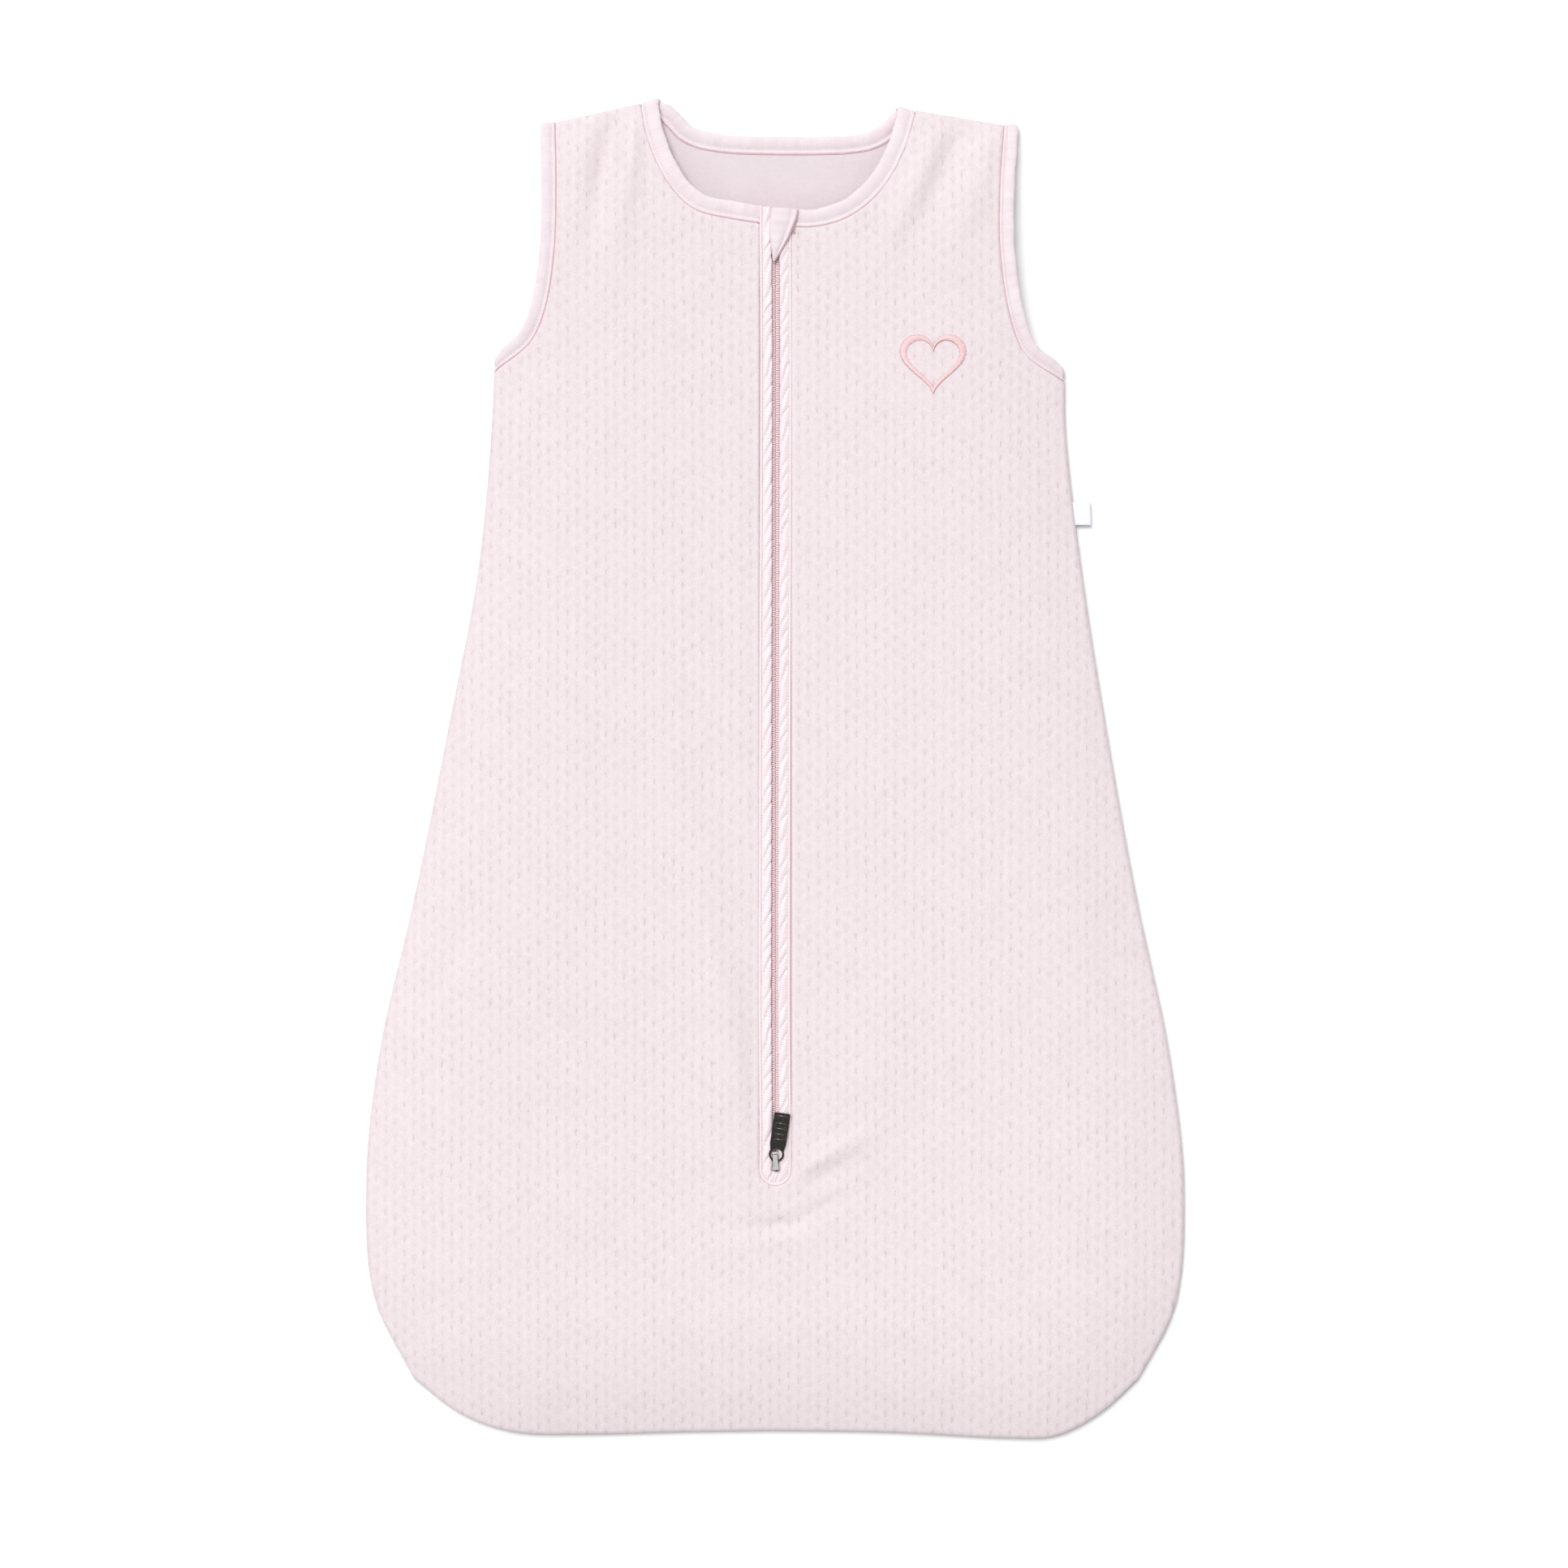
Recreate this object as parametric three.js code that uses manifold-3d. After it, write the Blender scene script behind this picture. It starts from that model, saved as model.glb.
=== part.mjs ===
// A sleeveless baby sleeping bag with a centre zip, lying flat on its back panel.
// Millimetres. +X is the wearer's left (the side of the embroidery), +Y runs from the foot to the
// neck, +Z points up. The origin lies on the underside, on the line of the zip.
// The bag is a hollow: a flat back panel, a domed front panel sewn to it down both sides, across the
// foot and at the shoulders, and open at the neck and at the two armholes.
import * as THREE from "three";
import { mergeVertices } from "three/addons/utils/BufferGeometryUtils.js";
import Module from "manifold-3d";

const wasm = await Module();
wasm.setup();

// ---- driving dimensions ----
const GAP = 0.3; // clearance between neighbouring pieces
const KNIT = 2.4; // thickness of the padded double knit
const SEAM_TOP = KNIT + GAP + KNIT; // top of the front panel where it meets the back
const RISE_FOOT = 18; // top of the front panel at the foot end of the zip
const RISE_NECK = 14.5; // the same at the neck end
const DOME_REACH = 75; // distance from a seam at which the front is fully risen
const DOME_POWER = 2.5;
const ARMHOLE_SHARE = 0.8; // how high the front stands at the armhole's edge
const ARMHOLE_REACH = 40;

const ZIP_X = 0.2; // the zip's straight line
const ZIP_FOOT_Y = -204;
const ZIP_NECK_Y = 290;
const SLOT_HALF = 8.2; // half the width of the slot cut for the zip
const SLOT_END_Y = -208.3; // centre of the slot's round foot end

const BAND = { neck: 8.2, armhole: 6.6, thick: 2.4, proud: 0.9, clear: 0.9 };
const FACING = { inner: 2.4, outer: 7.9, low: -0.4, high: 1.0 };
const TAPE = { inner: 2.6, outer: 13, low: -3.4, high: -2.8 };
const COIL = { inner: 0.6, outer: 2.3, low: -3.8, high: -1.9 };
const SLIDER = { half: 3.6, long: 9.5, plate: 0.8, top: -0.8, bottom: -4.9, web: 0.25 };
const PULL = { ring: 3.9, hole: 2.95, width: 8.3, length: 21.6, low: 1.3, thick: 1.2, lean: 8.5 };
const CROWN = { width: 2.4, leg: 1.6, lean: 7.5, above: 1.9, below: 4.95, ahead: 3.7, bar: 0.8 };

// ---- outline of the bag, seen from above ----
const NECK_FRONT = [
  [-70.3, 346.6], [-66.2, 327], [-56, 304.6], [-42.6, 290.8], [-22, 285.3], [0, 282.5],
  [21, 281.3], [40.4, 287.6], [56.5, 302], [67.6, 322.5], [73.5, 343],
];
const NECK_BACK = [
  [-70.3, 346.6], [-63, 341], [-56.4, 335], [-50, 328.4], [-41.5, 324.1], [-26, 321.2],
  [0, 320.2], [26, 320.3], [40, 321], [52, 323.4], [62, 329.3], [73.5, 343],
];
const ARMHOLE = {
  left: [[-114.8, 336.6], [-114, 300], [-115, 268], [-119.9, 238], [-127.5, 221.5], [-146.4, 207]],
  right: [[119.5, 335.2], [117, 300], [117.2, 268], [122.5, 234], [130.5, 215], [151, 201.5]],
};
const SIDE = {
  left: [
    [-146.4, 207], [-147.6, 180], [-154.6, 104], [-170.5, 20], [-187.5, -65], [-206.4, -149],
    [-213.2, -215], [-209, -276], [-188.5, -318],
  ],
  right: [
    [151, 201.5], [151.2, 178], [159.7, 104], [172.8, 20], [188, -65], [205.6, -149],
    [213.2, -218], [208.6, -280], [189.5, -318],
  ],
};
const HEM = {
  left: [[-188.5, -318], [-164, -336.6], [-137, -346], [-100, -347.2], [-50, -346], [0, -345.3]],
  right: [[189.5, -318], [170, -335.8], [146, -348.4], [124, -349.3], [60, -346.2], [0, -345.3]],
};

const sides = ["left", "right"];
const signOf = { left: -1, right: 1 };

function curveOf(points) {
  const line = points.map(([x, y]) => new THREE.Vector3(x, y, 0));
  return new THREE.CatmullRomCurve3(line, false, "centripetal");
}

function sampled(points, count) {
  return curveOf(points).getSpacedPoints(count);
}

const armholeLine = {};
const sideLine = {};
const hemLine = {};
for (const side of sides) {
  armholeLine[side] = sampled(ARMHOLE[side], 20);
  sideLine[side] = sampled(SIDE[side], 36);
  hemLine[side] = sampled(HEM[side], 18);
}
const neckFrontLine = sampled(NECK_FRONT, 36);
const neckBackLine = sampled(NECK_BACK, 30);
const shoulderLine = {
  left: [neckFrontLine[0], armholeLine.left[0]],
  right: [neckFrontLine[neckFrontLine.length - 1], armholeLine.right[0]],
};

// ---- height of the front panel ----
function distanceTo(line, x, y) {
  let nearest = Infinity;
  for (let i = 1; i < line.length; i++) {
    const [a, b] = [line[i - 1], line[i]];
    const [dx, dy] = [b.x - a.x, b.y - a.y];
    const along = ((x - a.x) * dx + (y - a.y) * dy) / (dx * dx + dy * dy || 1);
    const t = Math.min(1, Math.max(0, along));
    nearest = Math.min(nearest, Math.hypot(x - a.x - t * dx, y - a.y - t * dy));
  }
  return nearest;
}

const seamLines = sides.flatMap((side) => [sideLine[side], hemLine[side], shoulderLine[side]]);
const slope = (RISE_NECK - RISE_FOOT) / (ZIP_NECK_Y - ZIP_FOOT_Y);

function riseAt(y) {
  return RISE_FOOT + slope * (y - ZIP_FOOT_Y);
}

function frontTop(x, y) {
  const fromSeam = Math.min(...seamLines.map((line) => distanceTo(line, x, y)));
  const fromArmhole = Math.min(...sides.map((side) => distanceTo(armholeLine[side], x, y)));
  const dome = 1 - (1 - Math.min(1, fromSeam / DOME_REACH)) ** DOME_POWER;
  const near = 1 - Math.min(1, fromArmhole / ARMHOLE_REACH);
  const lift = 1 - (1 - ARMHOLE_SHARE) * near ** 2;
  return SEAM_TOP + (riseAt(y) - SEAM_TOP) * dome * lift;
}

// ---- solids ----
function geometryOf(points, triangles) {
  const positions = new Float32Array(points.flatMap((p) => [p.x, p.y, p.z]));
  const geometry = new THREE.BufferGeometry();
  geometry.setAttribute("position", new THREE.BufferAttribute(positions, 3));
  geometry.setIndex(triangles);
  return geometry;
}

// A closed sheet between an upper and a lower set of points that share one triangulation.
// Every edge used by one triangle only gets a wall.
function sheetSolid(upper, lower, triangles) {
  const count = upper.length;
  const faces = [];
  const edges = new Set();
  for (let i = 0; i < triangles.length; i += 3) {
    const [a, b, c] = triangles.slice(i, i + 3);
    faces.push(a, b, c, count + a, count + c, count + b);
    for (const [from, to] of [[a, b], [b, c], [c, a]]) edges.add(`${from} ${to}`);
  }
  for (const edge of edges) {
    const [from, to] = edge.split(" ").map(Number);
    if (edges.has(`${to} ${from}`)) continue;
    faces.push(from, count + to, to, from, count + from, count + to);
  }
  return geometryOf([...upper, ...lower], faces);
}

// A strip of constant section carried along a path. Each station has a point p, a width direction w
// and a thickness direction n; the section lists [along w, along n] pairs counter-clockwise.
function stripSolid(stations, section, closed) {
  const points = stations.flatMap(({ p, w, n }) =>
    section.map(([a, b]) => p.clone().addScaledVector(w, a).addScaledVector(n, b)),
  );
  const size = section.length;
  const faces = [];
  const last = closed ? stations.length : stations.length - 1;
  for (let i = 0; i < last; i++) {
    const here = i * size;
    const next = ((i + 1) % stations.length) * size;
    for (let k = 0; k < size; k++) {
      const m = (k + 1) % size;
      faces.push(here + k, here + m, next + m, here + k, next + m, next + k);
    }
  }
  if (!closed) {
    const end = (stations.length - 1) * size;
    for (let k = 1; k < size - 1; k++) faces.push(0, k + 1, k, end, end + k, end + k + 1);
  }
  const geometry = geometryOf(points, faces);
  return solidOf(geometry).volume() < 0 ? geometryOf(points, faces.reverse()) : geometry;
}

function roundedSection(width, thick) {
  const [a, b] = [width / 2, thick / 2];
  const c = Math.min(a, b) * 0.6;
  return [[-a, -b + c], [-a + c, -b], [a - c, -b], [a, -b + c],
    [a, b - c], [a - c, b], [-a + c, b], [-a, b - c]];
}

function flatSection(width, thick) {
  const [a, b] = [width / 2, thick / 2];
  return [[-a, -b], [a, -b], [a, b], [-a, b]];
}

function solidOf(geometry) {
  const bare = geometry.index ? geometry.toNonIndexed() : geometry.clone();
  bare.deleteAttribute("normal");
  bare.deleteAttribute("uv");
  const merged = mergeVertices(bare, 1e-4);
  const mesh = new wasm.Mesh({
    numProp: 3,
    vertProperties: new Float32Array(merged.attributes.position.array),
    triVerts: new Uint32Array(merged.index.array),
  });
  return new wasm.Manifold(mesh);
}

function geometryFrom(solid) {
  const mesh = solid.getMesh();
  const geometry = new THREE.BufferGeometry();
  geometry.setAttribute("position", new THREE.BufferAttribute(mesh.vertProperties, 3));
  geometry.setIndex(new THREE.BufferAttribute(mesh.triVerts, 1));
  return geometry;
}

function box(lowX, highX, lowY, highY, lowZ, highZ) {
  const geometry = new THREE.BoxGeometry(highX - lowX, highY - lowY, highZ - lowZ);
  geometry.translate((lowX + highX) / 2, (lowY + highY) / 2, (lowZ + highZ) / 2);
  return geometry;
}

function extruded(shape, low, high, curveSegments = 10) {
  const depth = high - low;
  const geometry = new THREE.ExtrudeGeometry(shape, { depth, bevelEnabled: false, curveSegments });
  return geometry.translate(0, 0, low);
}

// The left unit normal of a flat line at each of its points.
function normalsOf(line) {
  return line.map((_, i) => {
    const before = line[Math.max(0, i - 1)];
    const after = line[Math.min(line.length - 1, i + 1)];
    return new THREE.Vector3(before.y - after.y, after.x - before.x, 0).normalize();
  });
}

function offsetLine(line, distance) {
  const normals = normalsOf(line);
  return line.map((p, i) => p.clone().addScaledVector(normals[i], distance));
}

// ---- colours ----
function material(color, roughness, metalness = 0) {
  return new THREE.MeshStandardMaterial({ color, roughness, metalness });
}

const knit = material(0xf3e6ea, 0.95);
const jersey = material(0xf1e0e5, 0.9);
const satin = material(0xf8ecef, 0.4);
const tapePink = material(0xe9b9bf, 0.85);
const nylon = material(0xdfa5ac, 0.5);
const thread = material(0xeccfd2, 0.7);
const lining = material(0xf4f1f2, 0.95);
const nickel = material(0xc9c7c4, 0.25, 1);
const gunmetal = material(0x4a4542, 0.3, 1);

const bag = new THREE.Group();
bag.name = "baby_sleeping_bag";

function add(parent, name, geometry, look) {
  const mesh = new THREE.Mesh(geometry, look);
  mesh.name = name;
  parent.add(mesh);
  return mesh;
}

// ---- back panel ----
function backPanel() {
  const outline = [
    ...neckBackLine,
    ...armholeLine.right,
    ...sideLine.right,
    ...hemLine.right,
    ...[...hemLine.left].reverse(),
    ...[...sideLine.left].reverse(),
    ...[...armholeLine.left].reverse(),
  ].filter((p, i, all) => p.distanceTo(all[(i + 1) % all.length]) > 0.01);
  return extruded(new THREE.Shape(outline.map((p) => new THREE.Vector2(p.x, p.y))), 0, KNIT);
}

// ---- front panel ----
// Each half is a grid of rows from foot to neck and columns from the zip to the side. The halves
// share their inner column below the slot and part there to go round it.
const COLUMNS = 16;
const CORNER_BLEND = 4;

function rowHeights() {
  const rows = [-345.3, -341, -334, -324, -308, -286, -262, -238, -222];
  for (let step = 0; step <= 4; step++) {
    const turn = (step * Math.PI) / 8;
    rows.push(SLOT_END_Y - SLOT_HALF * Math.cos(turn));
  }
  const [chest, neck] = [SLOT_END_Y + 345, 282.4];
  const [lower, upper] = [9, 15];
  for (let i = 1; i <= lower; i++) rows.push(SLOT_END_Y + ((chest - SLOT_END_Y) * i) / lower);
  for (let i = 1; i <= upper; i++) rows.push(chest + ((neck - chest) * i) / upper);
  return rows;
}

function frontHalf(side, rows) {
  const sign = signOf[side];
  const foot = hemLine[side].map((p) => p.clone()).reverse();
  const outer = [...[...sideLine[side]].reverse(), ...[...armholeLine[side]].reverse().slice(1)];
  const neck = neckFrontLine.filter((p) => sign * (p.x - ZIP_X) > SLOT_HALF + 1);
  if (side === "left") neck.reverse();
  const top = [...neck, armholeLine[side][0]];
  const slotTop = new THREE.Vector3(ZIP_X + sign * SLOT_HALF, 282.4, 0);
  top.unshift(slotTop);
  const curves = {
    foot: new THREE.CatmullRomCurve3(foot, false, "centripetal"),
    outer: new THREE.CatmullRomCurve3(outer, false, "centripetal"),
    top: new THREE.CatmullRomCurve3(top, false, "centripetal"),
  };
  const grid = [];
  for (const y of rows) {
    const v = (y - rows[0]) / (rows[rows.length - 1] - rows[0]);
    const fromEnd = Math.min(0, y - SLOT_END_Y);
    const open = Math.sqrt(Math.max(0, SLOT_HALF ** 2 - fromEnd ** 2));
    const inner = new THREE.Vector3(ZIP_X + sign * open, y, 0);
    const edge = curves.outer.getPointAt(v);
    for (let i = 0; i <= COLUMNS; i++) {
      const u = 1 - (1 - i / COLUMNS) ** 1.5;
      const point = inner.clone().lerp(edge, u);
      const footShift = curves.foot.getPointAt(u).sub(foot[0].clone().lerp(foot.at(-1), u));
      const topShift = curves.top.getPointAt(u).sub(top[0].clone().lerp(top.at(-1), u));
      point.addScaledVector(footShift, (1 - v) ** CORNER_BLEND);
      point.addScaledVector(topShift, v ** CORNER_BLEND);
      grid.push(point);
    }
  }
  return grid;
}

function frontPanel() {
  const rows = rowHeights();
  const index = new Map();
  const points = [];
  const triangles = [];
  function slot(p) {
    const key = `${p.x.toFixed(3)} ${p.y.toFixed(3)}`;
    if (!index.has(key)) {
      index.set(key, points.length);
      points.push(p);
    }
    return index.get(key);
  }
  for (const side of sides) {
    const grid = frontHalf(side, rows).map(slot);
    for (let row = 0; row < rows.length - 1; row++) {
      for (let i = 0; i < COLUMNS; i++) {
        const a = grid[row * (COLUMNS + 1) + i];
        const b = grid[row * (COLUMNS + 1) + i + 1];
        const c = grid[(row + 1) * (COLUMNS + 1) + i + 1];
        const d = grid[(row + 1) * (COLUMNS + 1) + i];
        if (side === "right") triangles.push(a, b, c, a, c, d);
        else triangles.push(a, c, b, a, d, c);
      }
    }
  }
  const upper = points.map((p) => new THREE.Vector3(p.x, p.y, frontTop(p.x, p.y)));
  const lower = upper.map((p) => new THREE.Vector3(p.x, p.y, p.z - KNIT));
  return sheetSolid(upper, lower, triangles);
}

// ---- bindings ----
const FOLD_STEPS = 6;
const UP = new THREE.Vector3(0, 0, 1);

// Stations along a line that is flat in plan. toCloth points from the opening to the cloth.
function bandStations(line, heights, toCloth, overhead) {
  return line.map((p, i) => {
    const n = UP.clone().multiplyScalar(overhead ? 1 : -1);
    return { p: new THREE.Vector3(p.x, p.y, heights[i]), w: toCloth[i].clone(), n };
  });
}

// Stations of the half turn from the end of one run of stations to the start of the next.
function foldStations(from, to, away) {
  const stations = [];
  const reach = (from.p.z - to.p.z) / 2;
  for (let k = 1; k < FOLD_STEPS; k++) {
    const turn = (Math.PI * k) / FOLD_STEPS;
    const share = k / FOLD_STEPS;
    const p = from.p.clone().lerp(to.p, share);
    p.addScaledVector(away, Math.abs(reach) * Math.sin(turn));
    p.z = (from.p.z + to.p.z) / 2 + reach * Math.cos(turn);
    const w = from.w.clone().lerp(to.w, share).normalize();
    const n = from.n.clone().multiplyScalar(Math.cos(turn)).addScaledVector(away, Math.sin(turn));
    stations.push({ p, w, n: n.normalize() });
  }
  return stations;
}

const frontBandZ = (p) => frontTop(p.x, p.y) - KNIT / 2 + BAND.proud;
const backBandZ = BAND.thick / 2;

function armholeBinding(side) {
  const sign = signOf[side];
  const line = armholeLine[side].slice(1, -1);
  const normals = normalsOf(line).map((n) => n.multiplyScalar(sign));
  const out = BAND.armhole / 2 + BAND.clear;
  const centre = line.map((p, i) => p.clone().addScaledVector(normals[i], out));
  const toCloth = normals.map((n) => n.clone().negate());
  const front = bandStations(centre, line.map(frontBandZ), toCloth, true);
  const back = bandStations(centre, line.map(() => backBandZ), toCloth, false).reverse();
  const armpitWay = centre.at(-1).clone().sub(centre.at(-2)).normalize();
  const shoulderWay = centre[0].clone().sub(centre[1]).normalize();
  const stations = [
    ...front,
    ...foldStations(front.at(-1), back[0], armpitWay),
    ...back,
    ...foldStations(back.at(-1), front[0], shoulderWay),
  ];
  return stripSolid(stations, roundedSection(BAND.armhole, BAND.thick), true);
}

function neckBinding() {
  const out = BAND.neck / 2 + BAND.clear;
  const inset = 2;
  const frontSeam = neckFrontLine.slice(inset, -inset);
  const frontNormals = normalsOf(frontSeam);
  const frontCentre = frontSeam.map((p, i) => p.clone().addScaledVector(frontNormals[i], out));
  const front = bandStations(
    frontCentre, frontSeam.map(frontBandZ), frontNormals.map((n) => n.clone().negate()), true);
  const leftFront = front.filter((s) => s.p.x < ZIP_X - SLOT_HALF - GAP - 0.5).reverse();
  const rightFront = front.filter((s) => s.p.x > ZIP_X + SLOT_HALF + GAP + 0.5).reverse();
  const backSeam = neckBackLine.slice(inset, -inset);
  const backNormals = normalsOf(backSeam);
  const backCentre = backSeam.map((p, i) => p.clone().addScaledVector(backNormals[i], out));
  const back = bandStations(
    backCentre, backSeam.map(() => backBandZ), backNormals.map((n) => n.clone().negate()), false);
  const up = new THREE.Vector3(0, 1, 0);
  const stations = [
    ...leftFront,
    ...foldStations(leftFront.at(-1), back[0], up),
    ...back,
    ...foldStations(back.at(-1), rightFront[0], up),
    ...rightFront,
  ];
  return stripSolid(stations, roundedSection(BAND.neck, BAND.thick), false);
}

// ---- seams inside the bag ----
const SEAM = { width: 5, thick: 0.8, inset: 6.2 };

function seamStrip(line) {
  const normals = normalsOf(line);
  const z = KNIT + GAP + SEAM.thick / 2;
  const stations = line.map((p, i) => ({
    p: new THREE.Vector3(p.x, p.y, z),
    w: normals[i],
    n: UP,
  }));
  return stripSolid(stations, flatSection(SEAM.width, SEAM.thick), false);
}

function sideAndFootSeam() {
  const line = [
    ...sideLine.right.slice(3),
    ...hemLine.right.slice(1),
    ...[...hemLine.left].reverse().slice(1),
    ...[...sideLine.left].reverse().slice(1, -3),
  ];
  return seamStrip(offsetLine(line, -SEAM.inset).filter((_, i) => i % 2 === 0));
}

function shoulderSeam(side) {
  const [a, b] = shoulderLine[side];
  const ends = [a.clone().lerp(b, 0.12), a.clone().lerp(b, 0.9)];
  return seamStrip(offsetLine(ends, signOf[side] * -SEAM.inset));
}

// ---- zip ----
// The zip's own frame: y runs along the zip from the slider at rest, z = 0 is the top of the panel.
const zip = new THREE.Group();
zip.position.set(ZIP_X, ZIP_FOOT_Y, RISE_FOOT);
zip.rotation.x = Math.atan(slope);
bag.add(zip);

const ZIP_LENGTH = (ZIP_NECK_Y - ZIP_FOOT_Y) / Math.cos(Math.atan(slope));
const TAPE_FOOT = -11.5;
const COIL_FOOT = -7.2;
const COIL_NECK = ZIP_LENGTH - 14;

// The satin facing: one bias strip up one side of the slot, round its foot and up the other.
function zipFacing() {
  const middle = (FACING.inner + FACING.outer) / 2;
  const half = (FACING.outer - FACING.inner) / 2;
  const footY = SLOT_END_Y - ZIP_FOOT_Y;
  const z = (FACING.low + FACING.high) / 2;
  const stations = [];
  const straight = 6;
  for (let i = 0; i < straight; i++) {
    const y = ZIP_LENGTH + 1.5 + (footY - ZIP_LENGTH - 1.5) * (i / straight);
    stations.push({ p: new THREE.Vector3(-middle, y, z), w: new THREE.Vector3(-1, 0, 0) });
  }
  for (let i = 0; i <= 10; i++) {
    const turn = Math.PI + (Math.PI * i) / 10;
    const w = new THREE.Vector3(Math.cos(turn), Math.sin(turn), 0);
    const p = w.clone().multiplyScalar(middle);
    p.y += footY;
    p.z = z;
    stations.push({ p, w });
  }
  for (let i = 1; i <= straight; i++) {
    const y = footY + (ZIP_LENGTH - 7 - footY) * (i / straight);
    stations.push({ p: new THREE.Vector3(middle, y, z), w: new THREE.Vector3(1, 0, 0) });
  }
  const section = roundedSection(2 * half, FACING.high - FACING.low);
  return stripSolid(stations.map((s) => ({ ...s, n: UP })), section, false);
}

// A bar beside the zip's line, from inner to outer, on either side.
function bar(side, { inner, outer, low, high }, from, to) {
  const [a, b] = side === "left" ? [-outer, -inner] : [inner, outer];
  return box(a, b, from, to, low, high);
}

function coil(side) {
  const middle = (signOf[side] * (COIL.inner + COIL.outer)) / 2;
  const z = (COIL.low + COIL.high) / 2;
  const section = roundedSection(COIL.outer - COIL.inner, COIL.high - COIL.low);
  const stations = [COIL_FOOT, COIL_NECK].map((y) => ({
    p: new THREE.Vector3(middle, y, z),
    w: new THREE.Vector3(1, 0, 0),
    n: UP,
  }));
  return stripSolid(stations, section, false);
}

// The retainer box at the neck: a block on one tape with a floor that runs under the other's pin.
function retainerBox() {
  const shape = new THREE.Shape();
  shape.moveTo(-2.5, -5);
  shape.lineTo(3.4, -5);
  shape.lineTo(3.4, -3.7);
  shape.lineTo(2.3, -3.7);
  shape.lineTo(2.3, -1.3);
  shape.lineTo(0.4, -1.3);
  shape.lineTo(0.4, -4.3);
  shape.lineTo(-2.5, -4.3);
  const geometry = new THREE.ExtrudeGeometry(shape, { depth: 9, bevelEnabled: false });
  geometry.rotateX(Math.PI / 2);
  return geometry.translate(0, COIL_NECK + 10, 0);
}

// ---- slider ----
function sliderBody() {
  const [near, far] = [-SLIDER.long / 2, SLIDER.long / 2];
  const { half, plate, top, bottom, web } = SLIDER;
  const lip = 0.6;
  const pieces = [
    box(-half, half, near, far, top - plate, top),
    box(-half, half, near, far, bottom, bottom + plate),
    box(-web, web, near, near + 2.2, bottom + plate / 2, top - plate / 2),
  ];
  for (const sign of [-1, 1]) {
    const [a, b] = sign < 0 ? [-half, -half + lip] : [half - lip, half];
    pieces.push(box(a, b, near, far, TAPE.high + GAP, top - plate / 2));
    pieces.push(box(a, b, near, far, bottom + plate / 2, TAPE.low - GAP));
  }
  const solid = pieces.map(solidOf).reduce((whole, piece) => whole.add(piece));
  return geometryFrom(solid);
}

// The pull's ring turns about the middle of its lower rim, PIVOT from the slider's centre.
const PIVOT = { y: 0.5, z: PULL.low + PULL.thick / 2 };

// The crown: an arch over the ring's lower rim, its legs standing on the slider's top plate.
function sliderCrown() {
  const { width, leg, lean, above, below, ahead, bar: thick } = CROWN;
  const foot = SLIDER.top + GAP - PIVOT.z;
  const shape = new THREE.Shape();
  shape.moveTo(-below, foot);
  shape.lineTo(-below + leg, foot);
  shape.lineTo(-below + leg, above - thick);
  shape.lineTo(ahead - leg, above - thick);
  shape.lineTo(ahead - leg, foot);
  shape.lineTo(ahead, foot);
  shape.lineTo(ahead, above - 0.5);
  shape.lineTo(ahead - 0.5, above);
  shape.lineTo(-below + 0.5, above);
  shape.lineTo(-below, above - 0.5);
  const arch = new THREE.ExtrudeGeometry(shape, { depth: width, bevelEnabled: false });
  arch.translate(0, 0, -width / 2);
  const [x, y, z] = [new THREE.Vector3(1, 0, 0), new THREE.Vector3(0, 1, 0), UP];
  return arch.applyMatrix4(new THREE.Matrix4().makeBasis(y, z, x));
}

// The pull: a flat plate that narrows into a ring. Its origin is the pivot in the ring's lower rim.
function pullTab() {
  const { ring, hole, width, length, thick } = PULL;
  const centre = (ring + hole) / 2;
  const shape = new THREE.Shape();
  const corner = 0.5;
  const end = centre + length;
  const shoulder = centre + 5.2;
  const neckHalf = ring * Math.cos(0.5);
  const neckY = centre + ring * Math.sin(0.5);
  shape.moveTo(-width / 2, end - corner);
  shape.lineTo(-width / 2, shoulder);
  shape.lineTo(-neckHalf, neckY);
  shape.absarc(0, centre, ring, Math.PI - 0.5, 2 * Math.PI + 0.5, false);
  shape.lineTo(width / 2, shoulder);
  shape.lineTo(width / 2, end - corner);
  shape.lineTo(width / 2 - corner, end);
  shape.lineTo(-width / 2 + corner, end);
  const eye = new THREE.Path();
  eye.absarc(0, centre, hole, 0, 2 * Math.PI, true);
  shape.holes.push(eye);
  return extruded(shape, -thick / 2, thick / 2, 20);
}

// ---- zip guard ----
const GUARD = [
  [-1.7, 0.8], [-2.8, -7], [-2.5, -14], [-1.3, -25.2], [3.4, -18.2], [9.6, -10.5], [11.7, 0.4],
];

function zipGuard() {
  const shape = new THREE.Shape();
  const points = GUARD.map(([x, y]) => new THREE.Vector2(x, y + ZIP_LENGTH));
  shape.moveTo(points[0].x, points[0].y);
  shape.splineThru(points.slice(1, 4));
  shape.splineThru(points.slice(4));
  return extruded(shape, FACING.high + GAP, FACING.high + GAP + 1.6, 6);
}

// ---- label and embroidery ----
function sideLabel() {
  const profile = new THREE.Shape();
  const [root, tip, low, high] = [157.4, 164.6, 2.0, 3.2];
  const middle = (low + high) / 2;
  profile.moveTo(root, low);
  profile.lineTo(tip - (high - low) / 2, low);
  profile.absarc(tip - (high - low) / 2, middle, (high - low) / 2, -Math.PI / 2, Math.PI / 2, false);
  profile.lineTo(root, high);
  const settings = { depth: 12, bevelEnabled: false, curveSegments: 6 };
  const geometry = new THREE.ExtrudeGeometry(profile, settings);
  geometry.rotateX(Math.PI / 2);
  return geometry.translate(0, 138.8, 0);
}

const MOTIF = { x: 82, y: 210, size: 15.5, stroke: 3.4, thick: 1.1 };

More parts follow.
